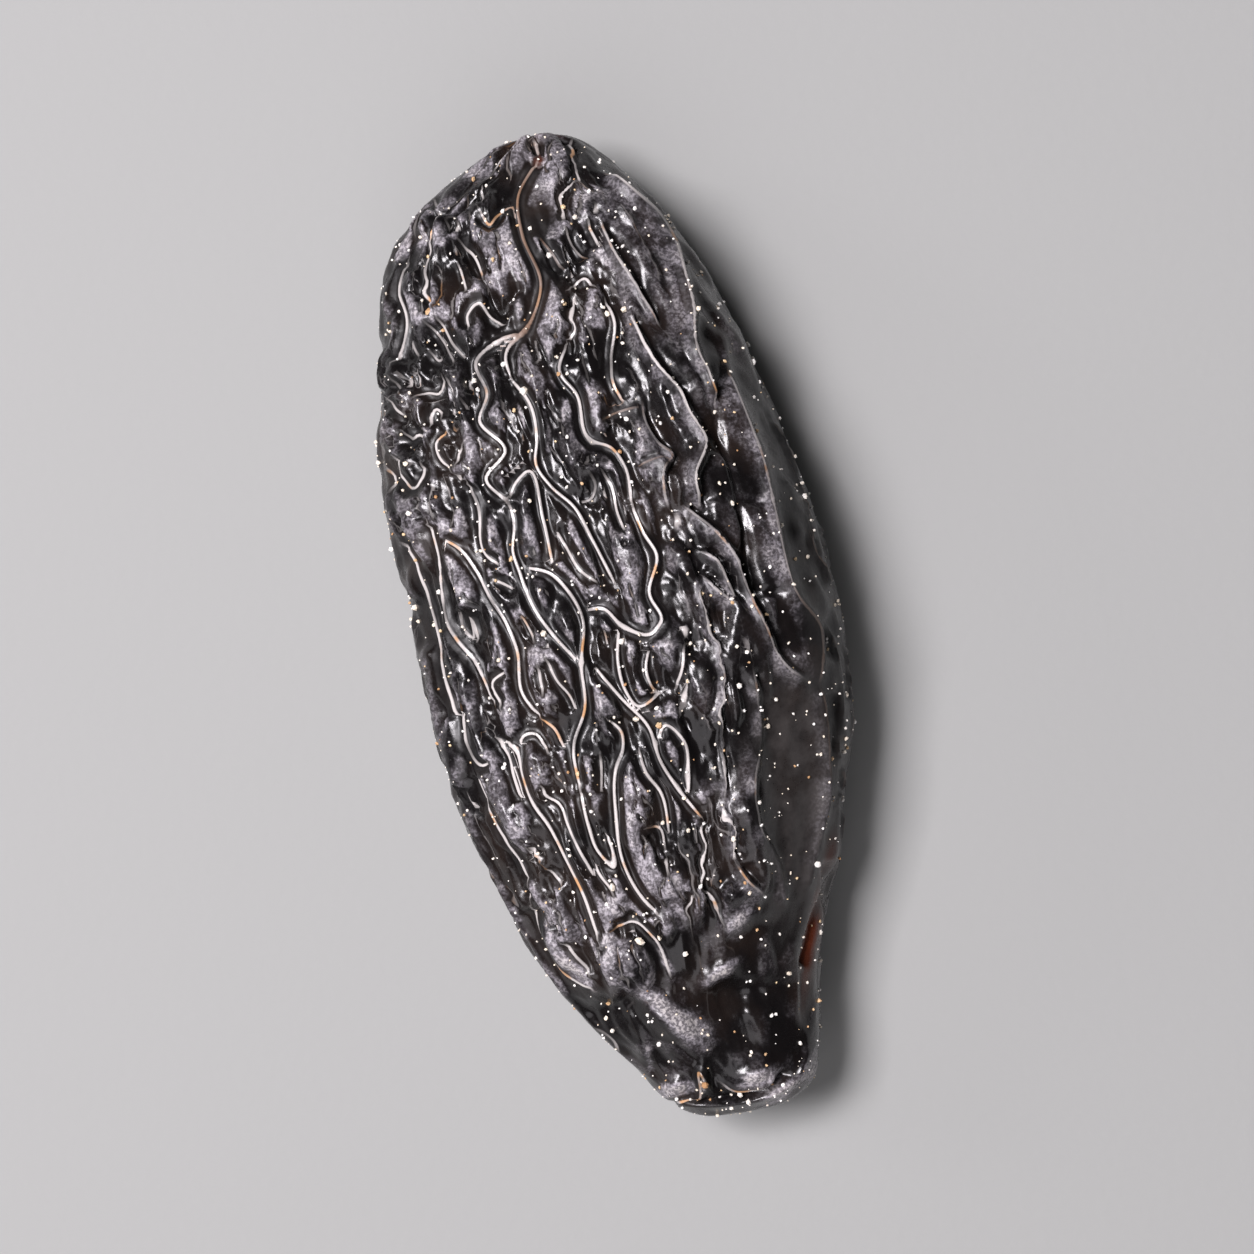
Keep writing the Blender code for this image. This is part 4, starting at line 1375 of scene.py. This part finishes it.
@dataclass
class BeanSkin:
    """The whole skin: one closed shell with its poles at the bean's ends.

    Heights and depths are in metres, and widths and distances across a ridge in millimetres.
    """

    columns: int = 284
    rows: int = 348
    same_place: float = 1e-5  # corners of the ball no further apart than this are joined
    upper_crowding: float = 0.55
    sunk: float = 0.30 * MM  # how far the skin sinks for the ridges to rise from
    sunk_flank_loss: float = 0.6
    crest_height: float = 0.48 * MM
    crest_half_width: float = 0.20
    crest_sharpness: float = 1.5
    crest_taper: float = 0.45
    crest_end_share: float = 0.25
    crest_flank_loss: float = 0.40
    line_reach: tuple = (0.2, 0.15)
    line_lean_loss: float = 0.25
    web_width: float = 0.6
    full_ridge: float = 0.5
    ridge_reach: float = 2.0
    ridge_fall: float = 0.3
    fine_ridge_fall: float = 0.2
    ridge_room: tuple = (0.12, 0.4)
    grown_share: float = 0.85
    fine_share: float = 0.22
    curly_share: float = 0.75
    grown_loss: Loss = Loss(patch=1.0, roll=0.85, flank=0.0, snout=0.92, shoulder=0.0)
    shoulder_growth: float = 0.85
    quieter_side: tuple = (1.6, 1.6)
    quieter_loss: float = 0.5
    relief_loss: Loss = Loss(patch=0.95, roll=0.85, flank=0.5, snout=0.7, shoulder=0.5)
    pillow_height: float = 0.50 * MM
    gully_width: float = 0.30
    gully_floor: float = 0.12
    gully_sharpness: float = 1.2
    gully_slope_loss: float = 0.9
    slope_foot: tuple = (-0.20, 0.14)
    swollen_height: float = 0.42 * MM
    swollen_cell: tuple = (-1.0, 2.2)
    swell_flank_loss: float = 0.7
    furrow_depth: float = 0.40 * MM
    lump_height: float = 0.016 * MM
    pebble_height: float = 0.010 * MM
    tan_squareness: float = 4.0
    shoulder_tan: float = 0.85
    grid: SkinGrid = field(default_factory=lambda: SkinGrid(SmoothBean()))
    piece: bpy.types.Object = field(init=False)

    def build(self) -> bpy.types.Object:
        """Models the skin.

        Returns:
            The piece.
        """
        self._roll_up()
        ball = vectors_of(self.piece, "co")
        along = np.arctan2(np.hypot(ball[:, 0], ball[:, 2]), -ball[:, 1]) / np.pi
        turn = np.arctan2(ball[:, 2], ball[:, 0])
        around = ((turn + self.upper_crowding * np.cos(turn)) / (2 * np.pi)) % 1.0
        skin = Skinned(self.grid.bean.place(along, around), along, around)
        set_corners(self.piece, skin.smooth)
        self._raise(skin)
        self._press_flat()
        bpy.ops.object.shade_smooth()
        return self.piece

    def _roll_up(self) -> None:
        """Makes a ball from a grid whose sides meet and whose ends close."""
        bpy.ops.object.select_all(action="DESELECT")
        bpy.ops.mesh.primitive_grid_add(x_subdivisions=self.columns, y_subdivisions=self.rows, size=2.0)
        self.piece = bpy.context.object
        self.piece.name = "bean_skin"
        flat = vectors_of(self.piece, "co")
        turn = np.pi * (flat[:, 0] + 1)
        rise = np.pi * (flat[:, 1] + 1) / 2
        ball = np.stack([np.sin(rise) * np.cos(turn), -np.cos(rise), np.sin(rise) * np.sin(turn)], axis=1)
        set_corners(self.piece, ball)
        bpy.ops.object.mode_set(mode="EDIT")
        bpy.ops.mesh.select_all(action="SELECT")
        bpy.ops.mesh.remove_doubles(threshold=self.same_place)
        bpy.ops.mesh.normals_make_consistent(inside=False)
        bpy.ops.object.mode_set(mode="OBJECT")

    def _raise(self, skin: Skinned) -> None:
        """Raises the rolls and lumps from the smooth form, and then the wrinkles from those.

        Args:
            skin: The vertices.
        """
        raised = self.crest_height - self.sunk
        zones = Zones(skin, vectors_of(self.piece, "normal"), self.grid.bean.rim_height, raised)
        ridges = self._ridges(skin, zones)
        contested = ridges.contested
        ridges.strength *= 1 - self.crest_flank_loss * zones.flank
        cusp = ridges.strength * bell(np.abs(ridges.offset), self.crest_half_width, self.crest_sharpness)
        level, lumps, pebbles = self._texture(skin)
        # on the +X side the skin rises to each crest from the -X side, and drops beyond it
        slope = zones.lean * ramp(ridges.offset, *self.slope_foot)
        calm = self.relief_loss.left(zones, zones.rest)
        relief = self.crest_height * cusp - self.sunk * (1 - self.sunk_flank_loss * zones.flank)
        relief *= zones.rest
        relief -= self.furrow_depth * zones.furrow
        relief += self.pillow_height * (1 - self._gullies(ridges, slope)) * calm
        relief += self.swollen_height * ramp(level, *self.swollen_cell) * (1 - cusp) * calm
        relief += (self.lump_height * lumps + self.pebble_height * pebbles) * (1 - cusp) * calm
        push_out(self.piece, "wrinkles", relief)
        swollen = zones.swollen * zones.upper * (1 - self.swell_flank_loss * zones.flank)
        push_out(self.piece, "swells", swollen * MM, "Z")
        # the pale line along each crest is a painted highlight, fainter on the +X side, where the rise to the
        # crest is painted bright instead
        pale = ridges.strength * zones.rest * (1 - ramp(np.abs(ridges.offset), *self.line_reach))
        pale *= 1 - contested
        pale *= 1 - self.line_lean_loss * zones.lean
        web = covered(WEBS, zones.plan) * zones.upper
        browned = covered(BROWNED, zones.plan, self.tan_squareness) * zones.upper
        # among these, the sheen on the cells and the lines on the crests are painted light
        painted = {
            "ridge": ridges.offset * (1 - self.web_width * web),
            "painted_silver": SheenPainting().share(zones, ridges, level, slope),
            "crest": np.clip(pale, 0, 1),
            "bloom": zones.bloom,
            "rust": covered(RUSTY, zones.plan) * zones.upper,
            "tan": np.maximum(browned, self.shoulder_tan * zones.shoulder),
        }
        for name, values in painted.items():
            set_attribute(self.piece, name, values)

    def _gullies(self, ridges: Ridges, slope: np.ndarray) -> np.ndarray:
        """How deep each vertex lies in the gullies beside the ridges, from 0 to 1."""
        away = np.maximum(np.abs(ridges.offset) - self.gully_floor, 0)
        depth = bell(away, self.gully_width, self.gully_sharpness) * eased(ridges.strength / self.full_ridge)
        return depth * (1 - self.gully_slope_loss * slope)

    def _ridges(self, skin: Skinned, zones: Zones) -> Ridges:
        """The sharp ridges: the laid folds, and the grown ones where there is room for them.

        Args:
            skin: The vertices.
            zones: The zones of the skin.

        Returns:
            The ridges.
        """
        ridges = Ridges(len(zones.plan))
        near = np.full(len(zones.plan), FAR)
        upper = zones.upper * (1 - zones.steep)
        for height, offset, from_end in beside_folds(zones.plan, raised=True):
            taper = self.crest_end_share + (1 - self.crest_end_share) * eased(from_end / self.crest_taper)
            strength = height * taper * upper * (np.abs(offset) < self.ridge_reach)
            ridges.lay(offset, strength, self.ridge_fall)
            near = np.where(upper > 0, np.minimum(near, np.abs(offset)), near)
        room = 1 - (1 - ramp(near, *self.ridge_room)) * upper
        smoothed = self.grown_loss.left(zones, 1.0)
        smoothed *= 1 - zones.outer * (1 - self.shoulder_growth * zones.shoulder) * zones.upper
        quieter = 1 - self.quieter_loss * ramp(zones.plan[:, 0], *self.quieter_side) * upper
        guide = fold_guide(self.grid)
        offset, grown = self._grown(skin, MAIN_WRINKLES, guide)
        ridges.lay(-offset, self.grown_share * grown * room * smoothed * quieter, self.ridge_fall)
        offset, grown = self._grown(skin, FINE_WRINKLES, 0 * guide)
        share = self.fine_share + (self.curly_share - self.fine_share) * zones.curly
        ridges.lay(-offset, share * grown * room * smoothed * quieter, self.fine_ridge_fall)
        return ridges

    def _grown(self, skin: Skinned, wrinkles: Wrinkles, guide: np.ndarray) -> tuple[np.ndarray, np.ndarray]:
        """Grown ridges, shaken a little.

        Args:
            skin: The vertices.
            wrinkles: How they grow.
            guide: Where they are wanted.

        Returns:
            Each vertex's distance from its ridge in millimetres, and that ridge's strength.
        """
        grid = self.grid
        lines = grid.crest_lines(wrinkles.grow(grid, guide), *wrinkles.bends)
        shifts = []
        for wide, narrow in SHAKES:
            shake = WIDE_SHAKE * wide.over(grid) + NARROW_SHAKE * narrow.over(grid)
            shifts.append(grid.sample(shake, skin.along, skin.around) * MM)
        girth = np.interp(skin.along, (np.arange(grid.rows) + 0.5) / grid.rows, grid.girth[:, 0])
        around = (skin.around + shifts[0] / np.maximum(girth, LEAST_GIRTH)) % 1.0
        along = np.clip(skin.along + shifts[1] / (grid.row_step * grid.rows), 0, 1)
        return tuple(grid.sample(values, along, around) for values in lines)

    def _texture(self, skin: Skinned) -> tuple:
        """The small relief: how swollen each cell is, and two sizes of lump."""
        grid = self.grid
        cells = (CELLS.over(grid) + BROAD_SHARE * BROAD_CELLS.over(grid)) / CELLS_SPREAD
        fields = (cells, LUMPS.over(grid), PEBBLES.over(grid))
        return tuple(grid.sample(values, skin.along, skin.around) for values in fields)

    def _press_flat(self) -> None:
        """Presses what reaches below the table flat on it, and centres the bean over the origin."""
        places = vectors_of(self.piece, "co")
        middle = (places.min(axis=0) + places.max(axis=0)) / 2
        places[:, :2] -= middle[:2]
        set_corners(self.piece, places)
        bpy.ops.object.mode_set(mode="EDIT")
        bpy.ops.mesh.select_all(action="DESELECT")
        bpy.ops.object.mode_set(mode="OBJECT")
        self.piece.data.vertices.foreach_set("select", places[:, 2] < 0)
        bpy.ops.object.mode_set(mode="EDIT")
        bpy.ops.mesh.select_mode(type="VERT")
        bpy.ops.transform.resize(value=(1, 1, 0), center_override=(0, 0, 0))
        bpy.ops.object.mode_set(mode="OBJECT")

    def dress(self) -> None:
        """Gives the skin its finish and its place in the frame."""
        self.piece.data.materials.append(SkinFinish().make())
        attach(self.piece, BODY)
        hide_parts(NODE)


class SpeckKind(Enum):
    """The two kinds of speck, by the names of their pieces."""

    FROST = "frost_specks"
    HUSK = "husk_specks"


@dataclass
class Specks:
    """Tiny crumbs scattered over the skin, as one piece. Lengths are in metres."""

    kind: SpeckKind
    count: int
    radius: float
    spread: float
    seed: int
    finish: SpeckFinish
    lowest: float = 0.4 * MM
    side_facing: float = -0.2  # skin that faces down more than this has fewer specks
    underside_share: float = 0.25
    roomiest: float = 95.0  # past this percentile of the room round a vertex, more room draws no more specks
    squash: tuple = (0.6, 1.15)
    unevenness: tuple = (0.8, 1.2)
    proud: float = 0.35
    piece: bpy.types.Object = field(init=False)

    def _chip(self) -> tuple[np.ndarray, np.ndarray]:
        """Models one crumb.

        Returns:
            Its vertices, about 1 in radius, and its triangles.
        """
        bpy.ops.object.select_all(action="DESELECT")
        bpy.ops.mesh.primitive_ico_sphere_add(subdivisions=1, radius=1.0)
        chip = bpy.context.object
        places = vectors_of(chip, "co")
        faces = np.array([face.vertices[:] for face in chip.data.polygons])
        bpy.data.objects.remove(chip)
        return places, faces

    def build(self, skin: bpy.types.Object) -> bpy.types.Object:
        """Scatters the crumbs.

        Args:
            skin: The piece that they lie on.

        Returns:
            The piece.
        """
        rng = np.random.default_rng(self.seed)
        chip, faces = self._chip()
        places = vectors_of(skin, "co")
        normals = vectors_of(skin, "normal")
        room = np.linalg.norm(places - np.roll(places, 1, axis=0), axis=1)
        facing = np.where(normals[:, 2] > self.side_facing, 1.0, self.underside_share)
        likely = np.clip(room, 0, np.percentile(room, self.roomiest)) * facing
        likely *= places[:, 2] > self.lowest
        chosen = rng.choice(len(places), self.count, replace=False, p=likely / likely.sum())
        sizes = self.radius * np.exp(self.spread * rng.standard_normal(self.count))
        corners = []
        for spot, size in zip(chosen, sizes):
            shape = chip * rng.uniform(*self.squash, (1, 3)) * rng.uniform(*self.unevenness, (len(chip), 1))
            turn, _ = np.linalg.qr(rng.standard_normal((3, 3)))
            if np.linalg.det(turn) < 0:
                turn[:, 0] *= -1
            corners.append(places[spot] + normals[spot] * size * self.proud + size * shape @ turn.T)
        joined = np.concatenate(corners)
        triangles = (faces[None] + len(chip) * np.arange(self.count)[:, None, None]).reshape(-1, 3)
        mesh = bpy.data.meshes.new(self.kind.value)
        mesh.from_pydata(joined.tolist(), [], triangles.tolist())
        mesh.update()
        self.piece = bpy.data.objects.new(self.kind.value, mesh)
        bpy.context.scene.collection.objects.link(self.piece)
        return self.piece

    def dress(self) -> None:
        """Gives the crumbs their finish and their place in the frame."""
        self.piece.data.materials.append(self.finish.make())
        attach(self.piece, BODY)


FROST = SpeckFinish("frost", (0.82, 0.80, 0.76, 1.0), (0.70, 0.62, 0.50, 1.0), 0.45)
HUSK = SpeckFinish("husk", (0.66, 0.50, 0.30, 1.0), (0.40, 0.22, 0.10, 1.0), 0.5)


# The studio ------------------------------


class Softbox(NamedTuple):
    """A square light that faces the bean: its place and the length of its side in metres, and its watts."""

    name: str
    place: tuple
    size: float
    power: float


SOFTBOXES = (
    Softbox("overhead", (-0.15, 0.07, 0.36), 0.13, 2.5),
    Softbox("key", (-0.10, 0.11, 0.36), 0.08, 0.45),
    Softbox("window", (-0.38, 0.16, 0.20), 0.12, 0.25),
    Softbox("front", (-0.10, -0.24, 0.30), 0.34, 0.7),
)


@dataclass
class Studio:
    """A pale floor, soft lights and the camera straight above."""

    floor_size: float = 2.0
    frame_height: float = 47.0 * MM
    lens: float = 100.0
    sensor: float = 36.0
    clip_start: float = 0.01
    camera_turn: float = -10.41
    light_colour: tuple = (1.0, 0.955, 1.0)
    world: Colour = (0.80, 0.82, 0.85, 1.0)
    world_strength: float = 0.03

    def build(self) -> None:
        """Makes the floor, the lights, the sky and the camera."""
        self._floor()
        for softbox in SOFTBOXES:
            self._light(softbox)
        self._sky()
        self._camera()
        bpy.context.scene.view_settings.view_transform = "Standard"

    def _floor(self) -> None:
        """Lays the floor under the bean."""
        bpy.ops.object.select_all(action="DESELECT")
        bpy.ops.mesh.primitive_plane_add(size=self.floor_size)
        floor = bpy.context.object
        floor.name = "floor"
        floor.data.materials.append(FloorFinish().make())

    def _light(self, softbox: Softbox) -> None:
        """Hangs a softbox.

        Args:
            softbox: What it is like.
        """
        data = bpy.data.lights.new(softbox.name, "AREA")
        data.shape = "SQUARE"
        data.size = softbox.size
        data.energy = softbox.power
        data.color = self.light_colour
        light = bpy.data.objects.new(softbox.name, data)
        light.location = softbox.place
        light.rotation_euler = (-Vector(softbox.place)).to_track_quat("-Z", "Y").to_euler()
        bpy.context.scene.collection.objects.link(light)

    def _sky(self) -> None:
        """Fills the shadows a little."""
        world = bpy.data.worlds.new("studio")
        world.use_nodes = True
        background = world.node_tree.nodes["Background"]
        background.inputs["Color"].default_value = self.world
        background.inputs["Strength"].default_value = self.world_strength
        bpy.context.scene.world = world

    def _camera(self) -> None:
        """Sets the camera, which looks straight down."""
        low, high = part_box(NODE)
        data = bpy.data.cameras.new("camera")
        data.lens = self.lens
        data.sensor_width = self.sensor
        data.clip_start = self.clip_start
        camera = bpy.data.objects.new("camera", data)
        distance = self.frame_height * self.lens / self.sensor
        camera.location = ((low.x + high.x) / 2, (low.y + high.y) / 2, high.z / 2 + distance)
        camera.rotation_euler = (0.0, 0.0, math.radians(self.camera_turn))
        bpy.context.scene.collection.objects.link(camera)
        bpy.context.scene.camera = camera


def main() -> None:
    """Builds the bean and the studio."""
    logging.basicConfig(level=logging.INFO, format="%(name)s: %(message)s")
    skin = BeanSkin()
    skin.build()
    skin.dress()
    log.info("skin of %d vertices", len(skin.piece.data.vertices))
    for specks in (
        Specks(SpeckKind.FROST, count=1300, radius=0.048 * MM, spread=0.42, seed=21, finish=FROST),
        Specks(SpeckKind.HUSK, count=260, radius=0.050 * MM, spread=0.45, seed=22, finish=HUSK),
    ):
        specks.build(skin.piece)
        specks.dress()
        log.info("%s: %d crumbs", specks.kind.value, specks.count)
    Studio().build()


if __name__ == "__main__":
    main()
